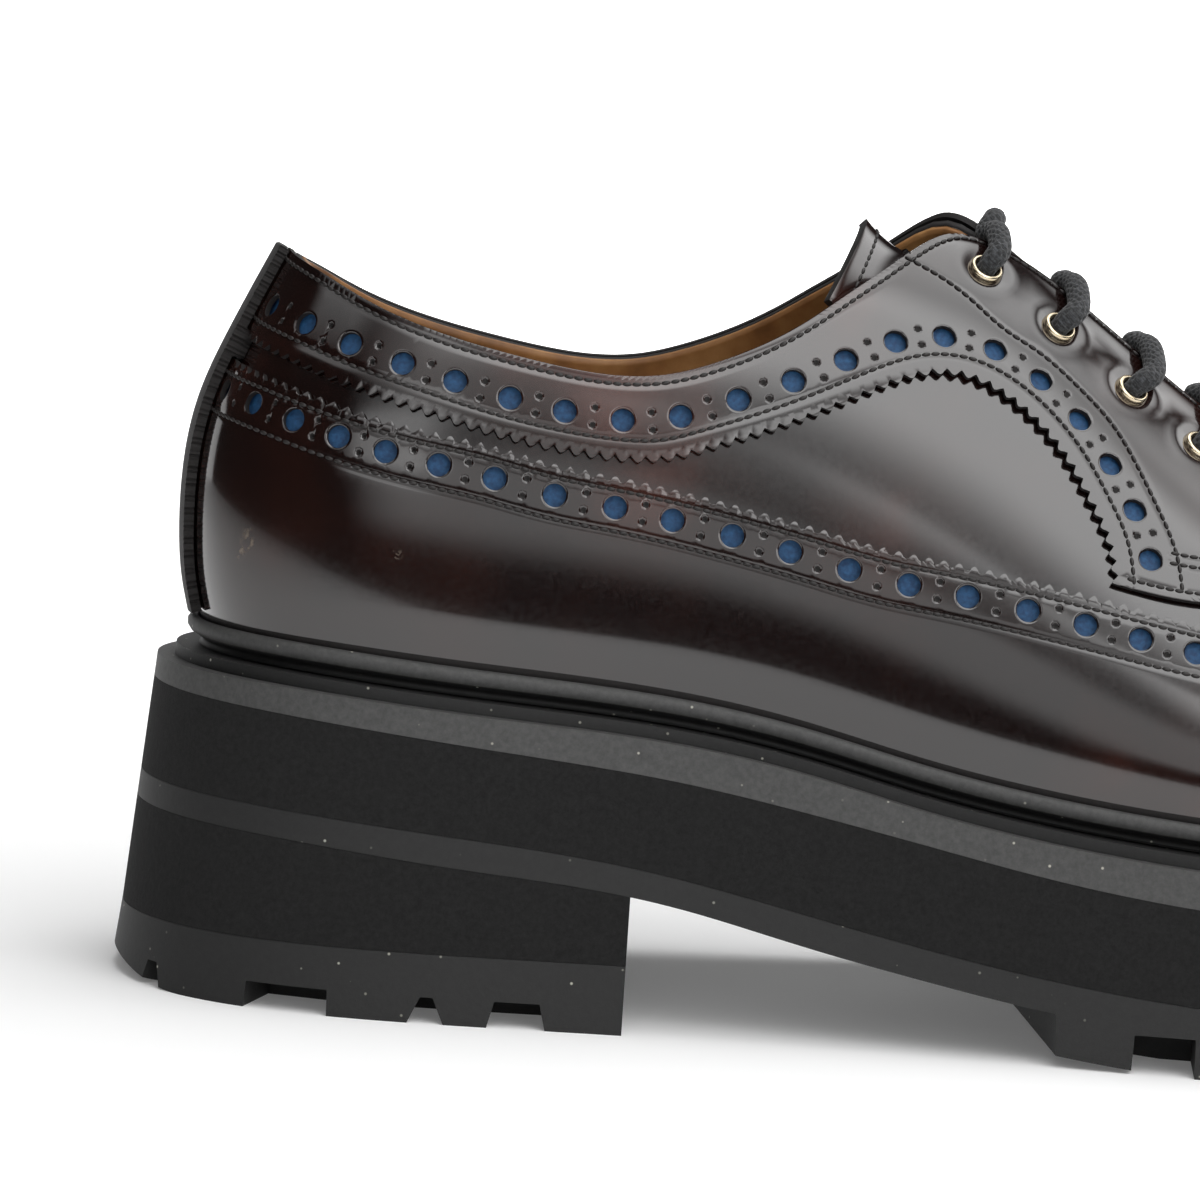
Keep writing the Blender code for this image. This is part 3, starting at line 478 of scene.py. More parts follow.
def punch_row(points, side, places):
    """Holes along a row: large ones, and a pair of pinholes across it between each two."""
    line = walk(points, side, 0.25)
    reach = np.arange(len(line)) * 0.25
    large = np.append(places, np.arange(places[-1] + HOLE_PITCH, reach[-1] - HOLE_PITCH / 4, HOLE_PITCH))
    small = (large[:-1] + large[1:]) / 2
    spots = np.stack([np.interp(large, reach, line[:, k]) for k in (0, 1)], axis=-1)
    between = np.stack([np.interp(small, reach, line[:, k]) for k in (0, 1)], axis=-1)
    left = headings(line, side)[1]
    square = left[np.clip(np.searchsorted(reach, small), 0, len(line) - 1)]
    pins = [shift(between, square * way * PINHOLE_APART / 2, side) for way in (-1, 1)]
    return ([(spot, HOLE_RADIUS, HOLE_SIDES) for spot in spots]
            + [(spot, PINHOLE_RADIUS, PINHOLE_SIDES) for spot in np.concatenate(pins)])


def furrow(rows):
    """Relief of the soft channel that the thread draws along each row."""
    def relief(pattern, side):
        lines = np.concatenate([on_skin(walk(row, side, 0.6), side, 0.0) for row in rows])
        spots = on_skin(pattern, side, 0.0)
        apart = np.concatenate([np.linalg.norm(block[:, None] - lines[None], axis=-1).min(axis=1)
                                for block in np.array_split(spots, len(spots) // 300 + 1)])
        return -FURROW_DEPTH * np.exp(-(apart / FURROW_HALF) ** 2)
    return relief


def furrow_guides(rows, side):
    """Pattern points along and beside each row, close enough to carry its channel."""
    lines = [walk(row, side, 1.2) for row in rows]
    return [beside(line, side, way * FURROW_HALF) for line in lines for way in FURROW_GUIDES]


def cut_panel(border, punched, side, guides):
    """Cuts a flat panel: pattern points, triangles, which points lie on a cut and which in a pinhole."""
    loops = [border] + [ring(spot, side, radius, count) for spot, radius, count in punched]
    rims = [ring(spot, side, radius + RIM_WIDTH, count) for spot, radius, count in punched]
    pins = np.array([spot for spot, radius, _ in punched if radius == PINHOLE_RADIUS])
    guides = np.concatenate(guides)
    guides = guides[inside(border, guides)]
    clear, spots = np.ones(len(guides), bool), on_skin(guides, side, 0.0)
    for spot, radius, _ in punched:
        centre = on_skin(np.array([spot]), side, 0.0)
        clear &= np.linalg.norm(spots - centre, axis=1) > radius + RIM_WIDTH + RIM_CLEAR
    lo, hi = border.min(axis=0), border.max(axis=0)
    grid = np.stack(np.meshgrid(np.arange(lo[0], hi[0], PANEL_SPACING),
                                np.arange(lo[1], hi[1], PANEL_SPACING * 0.9)), axis=-1).reshape(-1, 2)
    grid = grid[inside(border, grid)]
    cut = np.concatenate(loops)
    fixed = np.concatenate([cut, pins, *rims, guides[clear]])
    keep = np.ones(len(grid), bool)
    for block in np.array_split(fixed, max(len(fixed) // 400, 1)):
        keep &= np.linalg.norm(grid[:, None] - block[None], axis=-1).min(axis=1) > 0.55 * PANEL_SPACING
    points = np.concatenate([fixed, grid[keep]])
    edges, start = [], 0
    for loop in loops:
        edges += [(start + i, start + (i + 1) % len(loop)) for i in range(len(loop))]
        start += len(loop)
    flat = delaunay_2d_cdt([Vector(p) for p in points], edges, [], 1, 1e-5)
    pattern = np.array([tuple(p) for p in flat[0]])
    on_cut = np.array([any(k < len(cut) for k in ids) for ids in flat[3]])
    in_pin = np.array([any(len(cut) <= k < len(cut) + len(pins) for k in ids) for ids in flat[3]])
    faces = np.array([tuple(f) for f in flat[2]])
    middles = pattern[faces].mean(axis=1)
    for loop, (_, radius, _) in zip(loops[1:], punched):
        if radius > PINHOLE_RADIUS:
            apart = np.abs(middles - loop.mean(axis=0)).max(axis=1)
            near = np.flatnonzero(apart < np.ptp(loop, axis=0).max())
            near = near[inside(loop, middles[near])]
            faces, middles = np.delete(faces, near, axis=0), np.delete(middles, near, axis=0)
    return pattern, [tuple(int(k) for k in f) for f in faces], on_cut, in_pin


def seam(pattern):
    """Which points lie where the two halves of a panel join."""
    u, turn = pattern.T
    return (u < 0.02) | (u > FLAT_U - 0.02) | (turn > 90 * FLAT_TURN - 0.02)


def sew_down(mesh, panel, side, low, high, reliefs, painted_shade_below=-1.0):
    """Adds a cut panel with its thickness, rounded at its cuts and smooth on its face."""
    pattern, faces, on_cut, in_pin = panel
    # Faces in the band at the panel's foot are given the dark cut-edge material: painted shade.
    painted_shade_band = pattern[:, 1] < turn_at_height(pattern[:, 0] / FLAT_U, painted_shade_below + 0.05) * FLAT_TURN
    joined = seam(pattern)

    def face_place(spots):
        return on_skin(spots, side, high + sum(relief(spots, side) for relief in reliefs))
    step = 0.15
    here = np.clip(pattern, (0.5, 0.0), (FLAT_U - 0.5, 88.5 * FLAT_TURN))
    du = face_place(here + (step, 0)) - face_place(here - (step, 0))
    dt = face_place(here + (0, step)) - face_place(here - (0, step))
    normal = side * np.cross(dt, du)
    normal[:, 1] = np.where(joined, 0.0, normal[:, 1])
    normal /= np.linalg.norm(normal, axis=1, keepdims=True)
    top = face_place(pattern) - normal * (RIM_ROUND * (on_cut & ~joined) + PINHOLE_DEPTH * in_pin)[:, None]
    sprung = stand_open(pattern[:, 0] / FLAT_U, pattern[:, 1] / FLAT_TURN, side)
    bottom = on_skin(pattern, side, low + sprung)
    layers = mesh.verts.layers.float_vector
    layer = layers.get("face_normal") or layers.new("face_normal")
    above, below = ([mesh.verts.new(p) for p in to_frame(spots)] for spots in (top, bottom))
    for vert, n, cut in zip(above, normal, on_cut & ~joined):
        vert[layer] = Vector((0, 0, 0)) if cut else Vector(n)
    a, b, c = (top[faces[0][k]] for k in range(3))
    flip = np.cross(b - a, c - a) @ normal[faces[0][0]] < 0
    count = {}
    for face in faces:
        face = face[::-1] if flip else face
        dark = in_pin[list(face)].any() or painted_shade_band[list(face)].all()
        mesh.faces.new([above[k] for k in face]).material_index = int(dark)
        mesh.faces.new([below[k] for k in face[::-1]]).material_index = 1
        for i, j in zip(face, face[1:] + face[:1]):
            count[(i, j)] = True
    for i, j in count:
        if (j, i) not in count and not (joined[i] and joined[j]):
            mesh.faces.new((above[j], above[i], below[i], below[j])).material_index = 1


def smooth_face(made):
    """Gives a panel's face the skin's own normals, so that it mirrors the lights evenly."""
    data = made.data
    kept = np.zeros(len(data.vertices) * 3)
    data.attributes["face_normal"].data.foreach_get("vector", kept)
    kept = kept.reshape(-1, 3)
    normals = np.zeros((len(data.loops), 3))
    for face in data.polygons:
        if face.material_index == 0:
            for k in face.loop_indices:
                normals[k] = kept[data.loops[k].vertex_index]
    data.attributes.remove(data.attributes["face_normal"])
    data.normals_split_custom_set([tuple(n) for n in normals])


wing_row = flat_row(WING_EDGE)
foot_u = np.linspace(0, 1, 181)
wing_foot = np.stack([foot_u * FLAT_U, turn_at_height(foot_u, WING_FOOT) * FLAT_TURN], axis=-1)
wing_mesh = bmesh.new()
hole_rows, stitch_rows = {}, {}
for side in (LATERAL, MEDIAL):
    top = pinked(wing_row, side)
    top[0, 0], top[-1, 1] = 0.0, 90.0 * FLAT_TURN
    nose = np.stack([np.full(13, FLAT_U), np.linspace(wing_foot[-1, 1], 90 * FLAT_TURN, 15)[1:-1]], axis=-1)
    crest = np.stack([np.linspace(FLAT_U, top[-1, 0], 26)[:-1], np.full(25, 90 * FLAT_TURN)], axis=-1)
    back = np.stack([np.zeros(18), np.linspace(top[0, 1], wing_foot[0, 1], 20)[1:-1]], axis=-1)
    border = np.concatenate([wing_foot, nose, crest, top[::-1], back])
    hole_rows["wing", side] = beside(walk(wing_row, side, 1.0), side, -WING_HOLE_DROP)
    punched = punch_row(hole_rows["wing", side], side, WING_HOLES)
    punched = [p for p in punched if p[0][1] < 88 * FLAT_TURN and p[0][0] > 2]
    wing_line = walk(wing_row, side, 1.0)
    stitch_rows["wing", side] = [beside(wing_line, side, -drop)[2:-2] for drop in (EDGE_ROW, WING_LOW_ROW)]
    dark_row = np.stack([foot_u * FLAT_U, turn_at_height(foot_u, WING_SHADE_BAND) * FLAT_TURN], axis=-1)
    guides = furrow_guides(stitch_rows["wing", side], side) + [walk(dark_row[1:-1], side, 0.9)]
    panel = cut_panel(border, punched, side, guides)
    sew_down(wing_mesh, panel, side, OVERLAY_LOW, OVERLAY_HIGH, [furrow(stitch_rows["wing", side])],
             WING_SHADE_BAND)
smooth_face(add_piece("wing_overlay", wing_mesh, [polished_calf, inked_edge], "burgundy_leather", ["wing"]))

# Facings: eyestay and collar band in one piece on each quarter, of the same calf,
# pinked and punched below, and holed for the eyelets.
# along the last, turn of the facing's lower edge, from the heel to its corner
FACING_LOWER = (
    (0.15, 35.6), (9.6, 33.4), (19.3, 31.7), (32.0, 30.1), (45.0, 28.6), (57.0, 27.7), (68.0, 27.6),
    (74.0, 28.2), (81.0, 30.3), (89.0, 33.5), (97.0, 37.6), (107.0, 44.0), (113.5, 47.6), (120.0, 49.3),
    (128.0, 49.1), (135.5, 47.1), (141.0, 44.2), (145.5, 40.6), (149.5, 36.6), (152.0, 31.2),
)
# along the last, turn of the facing's front edge, from that corner to the throat
FACING_FRONT = (
    (152.0, 31.2), (159.0, 32.4), (166.0, 34.2), (174.0, 38.0), (180.0, 45.0), (183.5, 54.0),
    (184.5, 64.0), (182.0, 77.0),
)
FACING_END = 182.0
BAND_HOLE_RISE = 6.0
# distance of each large hole along the band's row, from the back of the heel
BAND_HOLES = (
    6.5, 17.2, 26.8, 36.6, 46.0, 55.7, 65.2, 75.1, 85.0, 95.2, 105.2, 115.1, 124.6, 133.4, 142.6, 152.0,
    161.5, 170.9, 180.0, 189.2,
)
# along the last and turn, one row for each pair of eyelets
EYELETS = ((121.0, 70.8), (135.5, 66.4), (150.0, 64.0), (163.5, 62.4), (176.0, 61.6))
EYELET_HOLE = 2.3
DENT_DEPTH, DENT_RADIUS, EDGE_RISE = 0.42, 3.5, 0.45
BAND_ROW, TOPLINE_ROW, FRONT_ROWS = 2.6, 1.5, (1.5, 6.3, 8.2)
# along the last and turn, row that closes the band below the eyelets
FACING_STITCH = (
    (105.3, 66.1), (111.5, 64.6), (119.1, 61.7), (125.9, 58.9), (131.8, 58.3), (140.0, 56.4),
    (146.0, 54.2), (150.5, 50.8), (155.5, 45.6), (160.1, 40.0), (162.4, 34.4),
)
eyelet_spots = flat_row(EYELETS)


def eyelet_pull(pattern, side):
    """Soft dent round each eyelet, and the edge beyond the row sprung up along a crease."""
    spots = on_skin(pattern, side, 0.0)
    centres = on_skin(eyelet_spots, side, 0.0)
    apart = np.linalg.norm(spots[:, None] - centres[None], axis=-1).min(axis=1)
    dent = -DENT_DEPTH * np.exp(-(apart / DENT_RADIUS) ** 4) + 0.12 * np.exp(-((apart - 5.2) / 1.4) ** 2)
    row = np.interp(pattern[:, 0], eyelet_spots[:, 0], eyelet_spots[:, 1])
    ends = 1 / (1 + np.exp(-(pattern[:, 0] - eyelet_spots[0, 0]) / 4.0))
    beyond = np.clip((pattern[:, 1] - row) / 14.0, 0, 1.5)
    return (dent + EDGE_RISE * ends * beyond
            + stand_open(pattern[:, 0] / FLAT_U, pattern[:, 1] / FLAT_TURN, side))


facing_top = flat_row([(max(a, 0.15), t) for a, t in TOP_EDGE if a < FACING_END] + [FACING_FRONT[-1]])
facing_lower, facing_front = flat_row(FACING_LOWER), flat_row(FACING_FRONT)
for side, name in ((LATERAL, "facing_lateral"), (MEDIAL, "facing_medial")):
    top = walk(facing_top, side, 1.2)
    lower = pinked(facing_lower, side)
    front = walk(facing_front, side, 1.2)
    back = np.linspace(lower[0], top[0], 12)[1:-1]
    border = np.concatenate([top, front[::-1][1:], lower[::-1][1:], back])
    hole_rows["band", side] = beside(walk(facing_lower, side, 1.0), side, BAND_HOLE_RISE)
    punched = punch_row(hole_rows["band", side], side, BAND_HOLES)
    punched += [(spot, EYELET_HOLE, 32) for spot in eyelet_spots]
    front_line = walk(facing_front, side, 1.0)
    stitch_rows[name, side] = [
        beside(walk(facing_lower, side, 1.0), side, BAND_ROW)[1:], flat_row(FACING_STITCH),
        beside(walk(facing_top, side, 1.0), side, -TOPLINE_ROW)[1:],
        *(beside(front_line, side, drop)[8 if drop > 2 else 1:-8] for drop in FRONT_ROWS)]
    guides = [ring(spot, side, radius, 32) for spot in eyelet_spots for radius in (3.3, 3.9, 4.6, 5.4, 6.4)]
    guides += furrow_guides(stitch_rows[name, side], side)
    facing_mesh = bmesh.new()
    sew_down(facing_mesh, cut_panel(border, punched, side, guides), side, OVERLAY_LOW, OVERLAY_HIGH,
             [eyelet_pull, furrow(stitch_rows[name, side])])
    smooth_face(add_piece(name + "_overlay", facing_mesh, [polished_calf, inked_edge], "burgundy_leather",
                          [name]))

# Inlay: strips of soft blue leather between the overlays and the upper, glued down
# before sewing, so that they show through the punched holes.
INLAY_HALF, INLAY_LIFT = 4.2, 0.05
inlay_blue, tree, shade = new_material("blue_inlay_leather", 0.65)
where = add_node(tree, "TexCoord").outputs["Object"]
felt = add_node(tree, "TexNoise", (("Vector", where), ("Scale", per_mm(0.8)), ("Detail", 4.0)))
tone = add_node(tree, "ValToRGB", (("Fac", felt.outputs["Fac"]),))
tone.color_ramp.elements[0].position, tone.color_ramp.elements[1].position = 0.3, 0.75
tone.color_ramp.elements[0].color, tone.color_ramp.elements[1].color = linear("143A62"), linear("285C8A")
tree.links.new(tone.outputs["Color"], shade.inputs["Base Color"])
nap = add_node(tree, "Bump", (("Height", felt.outputs["Fac"]), ("Strength", 0.4), ("Distance", 0.1 * MM)))
tree.links.new(nap.outputs["Normal"], shade.inputs["Normal"])
inlay_mesh = bmesh.new()
for (_, side), row in hole_rows.items():
    edges = [beside(row, side, way * INLAY_HALF) for way in (-1, 1)]

    def inlay_place(s, t):
        at = s * (len(row) - 1)
        near, far = (np.stack([np.interp(at, np.arange(len(row)), edge[:, k]) for k in (0, 1)], axis=-1)
                     for edge in edges)
        spots = near + (far - near) * t[:, None]
        spots[:, 0], spots[:, 1] = np.clip(spots[:, 0], 0, FLAT_U), np.clip(spots[:, 1], 0, 90 * FLAT_TURN)
        return on_skin(spots, side, INLAY_LIFT)
    bent_grid(inlay_mesh, (len(row) - 1, 4), inlay_place)
add_piece("inlay", inlay_mesh, [inlay_blue], "burgundy_leather", sheet=True)

# Backstay: a narrow strip of black leather with raw edges, sewn over the back seam
# from the collar to the welt.
BACKSTAY_HALF, BACKSTAY_FOOT, BACKSTAY_TOP, BACKSTAY_FACE = 0.03, 6.8, 47.0, 3.9
BACKSTAY_STEPS, EDGE_FUZZ, FUZZ_WAVES = (320, 20), 0.035, (430.0, 610.0)
# turn, lift of the strip's underside over the skin: it fills the gap between the overlays
BACKSTAY_DIP = ((31.98, 2.1), (32.1, 0.1), (35.3, 0.1), (35.42, 2.1))


def backstay_place(s, t):
    """Closed section: over the strip's face from side to side, and back along its underside."""
    count = BACKSTAY_STEPS[1] // 2
    column = np.rint(t * BACKSTAY_STEPS[1]).astype(int) % BACKSTAY_STEPS[1]
    under = column >= count
    share = (2 * (column % count) / (count - 1) - 1) * np.where(under, -1, 1)
    turn = turn_at_height(np.zeros_like(s), BACKSTAY_FOOT) * (1 - s) + BACKSTAY_TOP * s
    fuzz = (np.sin(s * FUZZ_WAVES[0]) + np.sin(s * FUZZ_WAVES[1] + 1.0)) / 2
    raw = 1 + EDGE_FUZZ * fuzz * (np.abs(share) > 0.99)
    lift = np.where(under, np.interp(turn, *zip(*BACKSTAY_DIP)), BACKSTAY_FACE)
    spots = [skin(np.abs(share) * BACKSTAY_HALF * raw, turn, side, lift) for side in (LATERAL, MEDIAL)]
    return np.where((share < 0)[:, None], spots[0], spots[1])


strip_mesh = bmesh.new()
bent_grid(strip_mesh, BACKSTAY_STEPS, backstay_place)
bmesh.ops.remove_doubles(strip_mesh, verts=strip_mesh.verts, dist=2e-6)
bmesh.ops.holes_fill(strip_mesh, edges=[e for e in strip_mesh.edges if e.is_boundary])
add_piece("backstay_strip", strip_mesh, [inked_edge], "dark_leather", ["backstay"])

# Tongue: one leaf of burgundy calf sewn under the throat, its end standing a little
# proud of the collar.
TONGUE_WALL = 1.8
# along the last at the ridge, at the outer edge and at the inner edge, turn of the edges, lift
TONGUE = (
    (100.0, 94.0, 102.0, 55.5, -2.6), (104.0, 99.0, 106.0, 54.0, -4.6), (108.0, 104.0, 110.0, 53.0, -5.8),
    (116.0, 113.5, 117.0, 52.0, -5.6), (128.0, 127.0, 128.0, 54.0, -4.4), (142.0, 142.0, 142.0, 56.0, -3.5),
    (156.0, 156.0, 156.0, 58.0, -3.2), (174.0, 174.0, 174.0, 62.0, -3.2), (190.0, 190.0, 190.0, 67.0, -3.2),
)
TONGUE_ROW, TONGUE_BOW = 2.6, 1.4
tongue_table = np.array(TONGUE)


def tongue_row(s, share, side):
    """Tongue from its end at s 0 to the throat at 1, and from its ridge at share 0 to its edge at 1."""
    ridge = tongue_table[0, 0] + (tongue_table[-1, 0] - tongue_table[0, 0]) * s
    columns = (1 if side == LATERAL else 2, 3, 4)
    edge_along, edge_turn, lift = (spline(tongue_table[:, 0], tongue_table[:, k])(ridge) for k in columns)
    along = ridge + (edge_along - ridge) * share ** TONGUE_BOW
    return skin(u_of(along), 90 - (90 - edge_turn) * share, side, lift)


def tongue_place(s, t):
    share = np.abs(t - 0.5) * 2
    return np.where((t < 0.5)[:, None], tongue_row(s, share, LATERAL), tongue_row(s, share, MEDIAL))


tongue_mesh = bmesh.new()
bent_grid(tongue_mesh, (90, 48), tongue_place)
add_piece("tongue_leaf", tongue_mesh, [polished_calf, inked_edge], "burgundy_leather", ["tongue"],
          sheet=True, wall=TONGUE_WALL, bevel=0.3)

# Stitching: waxed black thread, lockstitched through the overlays in rows beside
# their edges, each stitch sunk a little at its ends.
STITCH_PITCH, STITCH_LENGTH, STITCH_WIDTH = 1.65, 1.55, 0.7
waxed_thread, tree, shade = new_material("waxed_black_thread", 0.45)
where = add_node(tree, "TexCoord").outputs["Object"]
twist = add_node(tree, "TexNoise", (("Vector", where), ("Scale", per_mm(0.4)), ("Detail", 2.0)))
tone = add_node(tree, "ValToRGB", (("Fac", twist.outputs["Fac"]),))
tone.color_ramp.elements[0].color, tone.color_ramp.elements[1].color = linear("080707"), linear("241E1C")
tree.links.new(tone.outputs["Color"], shade.inputs["Base Color"])


def stitch_shape():
    """One stitch lying along X, with a few dozen faces."""
    mesh = bmesh.new()
    bmesh.ops.create_uvsphere(mesh, u_segments=6, v_segments=5, radius=0.5,
                              matrix=Matrix.Rotation(math.pi / 2, 4, "Y"))
    mesh.verts.index_update()
    verts = np.array([v.co for v in mesh.verts])
    faces = [[v.index for v in f.verts] for f in mesh.faces]
    mesh.free()
    return verts, faces


stitch_verts, stitch_faces = stitch_shape()
thread_verts, thread_faces = [], []


def lay(spots, ahead, left, normal):
    size = np.array([STITCH_LENGTH, STITCH_WIDTH, STITCH_WIDTH * 0.8])
    for spot, a, b, n in zip(spots, ahead, left, normal):
        start = len(thread_verts) * len(stitch_verts)
        thread_verts.append(spot + (stitch_verts * size) @ np.array([a, b, n]))
        thread_faces.extend([[k + start for k in face] for face in stitch_faces])


for (name, side), rows in stitch_rows.items():
    for row in rows:
        line = walk(row, side, STITCH_PITCH)
        middle = (line[1:] + line[:-1]) / 2
        height = OVERLAY_HIGH + (0.0 if name == "wing" else eyelet_pull(middle, side))
        lay(on_skin(middle, side, height), *headings(middle, side))
for side in (LATERAL, MEDIAL):
    share = np.linspace(0.0, 0.97, 200)
    inset = np.full_like(share, TONGUE_ROW / (tongue_table[-1, 0] - tongue_table[0, 0]))
    path, beyond = (tongue_row(inset + more, share, side) for more in (0.0, 0.01))
    gone = np.concatenate([[0], np.cumsum(np.linalg.norm(np.diff(path, axis=0), axis=1))])
    even = np.searchsorted(gone, np.arange(STITCH_PITCH / 2, gone[-1], STITCH_PITCH))
    ahead, left = np.gradient(path, axis=0), beyond - path
    ahead, left = (v / np.linalg.norm(v, axis=1, keepdims=True) for v in (ahead, left))
    normal = np.cross(ahead, left)
    lay(path[even], ahead[even], left[even], normal[even])
thread_data = bpy.data.meshes.new("stitching")
thread_data.from_pydata(to_frame(np.concatenate(thread_verts)).tolist(), [], thread_faces)
thread_mesh = bmesh.new()
thread_mesh.from_mesh(thread_data)
bpy.data.meshes.remove(thread_data)
add_piece("stitching", thread_mesh, [waxed_thread], "burgundy_leather", sharp=180.0)

# Eyelets: turned brass rings with a rolled flange, clenched through the facings, one
# for each hole.
EYELET_STEPS, EYELET_ROLL, EYELET_MIDDLE = 40, 0.54, 2.46
satin_brass, tree, shade = new_material("satin_brass", 0.22, Metallic=1.0)
where = add_node(tree, "TexCoord").outputs["Object"]
tarnish = add_node(tree, "TexNoise", (("Vector", where), ("Scale", per_mm(1.5)), ("Detail", 4.0)))
tone = add_node(tree, "ValToRGB", (("Fac", tarnish.outputs["Fac"]),))
tone.color_ramp.elements[0].color, tone.color_ramp.elements[1].color = linear("C2AA80"), linear("F2E8D2")
tree.links.new(tone.outputs["Color"], shade.inputs["Base Color"])
for side, word in ((LATERAL, "lateral"), (MEDIAL, "medial")):
    for number, spot in enumerate(eyelet_spots, start=1):
        name = f"eyelet_{word}_{number}"
        here = spot[None]
        floor_lift = OVERLAY_HIGH + float(eyelet_pull(here, side)[0])
        base = Vector(to_frame(on_skin(here, side, floor_lift)[0]))
        axis = Vector(skin_normal(spot[0] / FLAT_U, spot[1] / FLAT_TURN, side))
        spin = axis.to_track_quat("Z", "Y").to_matrix()
        profile = [(EYELET_MIDDLE - EYELET_ROLL, -1.6)]
        profile += [(EYELET_MIDDLE - EYELET_ROLL * math.cos(a), 0.35 + EYELET_ROLL * math.sin(a) * 1.2)
                    for a in np.radians(np.arange(0, 181, 20))]
        profile += [(EYELET_MIDDLE + EYELET_ROLL, 0.05), (EYELET_MIDDLE - 0.2, 0.0),
                    (EYELET_MIDDLE - 0.2, -1.6)]
        ring_mesh = bmesh.new()
        chain = [ring_mesh.verts.new((r * MM, 0, h * MM)) for r, h in profile]
        edges = [ring_mesh.edges.new(pair) for pair in zip(chain, chain[1:] + chain[:1])]
        bmesh.ops.spin(ring_mesh, geom=chain + edges, cent=(0, 0, 0), axis=(0, 0, 1), angle=2 * math.pi,
                       steps=EYELET_STEPS, use_merge=True)
        placed = Matrix.Translation(base) @ spin.to_4x4()
        bmesh.ops.transform(ring_mesh, matrix=placed, verts=ring_mesh.verts)
        add_piece(name + "_ring", ring_mesh, [satin_brass], "brass", [name], sharp=60.0)

# Lace: round braided cotton with a dark wax. Bars slipped a little forward cross the
# throat, and each end drops through an eyelet and runs on flat under the facing.
LACE_RADIUS, LACE_SIDES, LACE_STEP, YARNS = 2.05, 48, 0.22, 8
LACE_SQUEEZE, SQUEEZE_AT, SQUEEZE_SPREAD = 0.16, 3.6, 1.8
# how far forward of its eyelets the middle of each bar lies, and the share of the way by which it does
LACE_SLIPS, SLIP_BY = (1.6, 2.4, 3.2, 3.2, 3.2), 0.2
# share of the way from the eyelet to the ridge, lift over the skin
LACE_RISE = (
    (0.0, -2.0), (0.0, 1.2), (0.03, 2.9), (0.15, 4.0), (0.36, 4.2), (0.58, 4.1), (0.8, 3.0), (1.0, 2.5),
)
dark_braid, tree, shade = new_material("waxed_cotton_braid", 0.8, Sheen_Weight=0.25, Sheen_Roughness=0.5)
uv = add_node(tree, "UVMap", uv_map="braid")
yarn = add_node(tree, "TexNoise", (("Vector", uv.outputs["UV"]), ("Scale", 2.2), ("Detail", 5.0)))
tone = add_node(tree, "ValToRGB", (("Fac", yarn.outputs["Fac"]),))
tone.color_ramp.elements[0].position, tone.color_ramp.elements[1].position = 0.44, 0.68
tone.color_ramp.elements[0].color, tone.color_ramp.elements[1].color = linear("08090A"), linear("424448")
tree.links.new(tone.outputs["Color"], shade.inputs["Base Color"])
fuzz = add_node(tree, "Bump", (("Height", yarn.outputs["Fac"]), ("Strength", 0.6), ("Distance", 0.2 * MM)))
tree.links.new(fuzz.outputs["Normal"], shade.inputs["Normal"])


def even_path(knots, spacing):
    """Smooth path through a few points, in even steps."""
    reach = np.concatenate([[0], np.cumsum(np.linalg.norm(np.diff(knots, axis=0), axis=1))])
    count = int(reach[-1] / spacing) + 1
    at = np.linspace(0, reach[-1], count)
    return np.stack([spline(reach, knots[:, k])(at) for k in range(3)], axis=-1)


def braid(mesh, path, flat_way=None, flatness=1.0):
    """Tube along a path, its surface raised into two crossing sets of yarns."""
    ahead = np.gradient(path, axis=0)
    ahead /= np.linalg.norm(ahead, axis=1, keepdims=True)
    up = np.zeros_like(path)
    up[0] = np.cross(ahead[0], (1.0, 0.2, 0.3)) if flat_way is None else flat_way
    for k in range(1, len(path)):
        up[k] = up[k - 1] if flat_way is None else flat_way
        up[k] = up[k] - (up[k] @ ahead[k]) * ahead[k]
        up[k] /= np.linalg.norm(up[k])
    up[0] = up[1]
    wide = np.cross(ahead, up)
    gone = np.arange(len(path)) * LACE_STEP

    def place(s, t):
        k = np.rint(s * (len(path) - 1)).astype(int)
        turn = 2 * np.pi * t
        slope = YARNS * gone[k] / LACE_RADIUS
        ridge = np.maximum(np.cos(YARNS * turn + slope), np.cos(YARNS * turn - slope))
        from_end = np.minimum(gone[k], gone[-1] - gone[k])
        tight = 1 - LACE_SQUEEZE * np.exp(-((from_end - SQUEEZE_AT) / SQUEEZE_SPREAD) ** 2)
        radius = LACE_RADIUS * tight * (0.92 + 0.08 * ridge)
        return (path[k] + (radius * np.cos(turn))[:, None] * wide[k]
                + (radius * flatness * np.sin(turn))[:, None] * up[k])
    bent_grid(mesh, (len(path) - 1, LACE_SIDES), place)


lace_mesh = bmesh.new()
braid_uv = lace_mesh.loops.layers.uv.new("braid")
for (along, turn), slip in zip(EYELETS, LACE_SLIPS):
    knots = []
    for side, rows in ((LATERAL, LACE_RISE), (MEDIAL, LACE_RISE[-2::-1])):
        shares, lifts = np.array(rows).T
        turns = turn + (90 - turn) * shares
        us = u_of(along + slip * np.minimum(shares / SLIP_BY, 1.0))
        knots.append(skin(us, turns, side, lifts + stand_open(us, turns, side)))
    braid(lace_mesh, even_path(np.concatenate(knots), LACE_STEP))
for number in range(4):
    side = MEDIAL if number % 2 == 0 else LATERAL
    ends = np.linspace(eyelet_spots[number], eyelet_spots[number + 1], 7)
    way = skin_normal(ends[3, 0] / FLAT_U, ends[3, 1] / FLAT_TURN, side)
    braid(lace_mesh, even_path(on_skin(ends, side, -2.6), LACE_STEP), way, 0.24)
for face in lace_mesh.faces:
    for loop in face.loops:
        spot = loop.vert.co / MM
        loop[braid_uv].uv = (spot.x + spot.z, spot.y * 1.3 - spot.z * 0.4)
add_piece("lace", lace_mesh, [dark_braid], "black_cord", [f"lace_bar_{n}" for n in range(1, 6)], sharp=180.0)

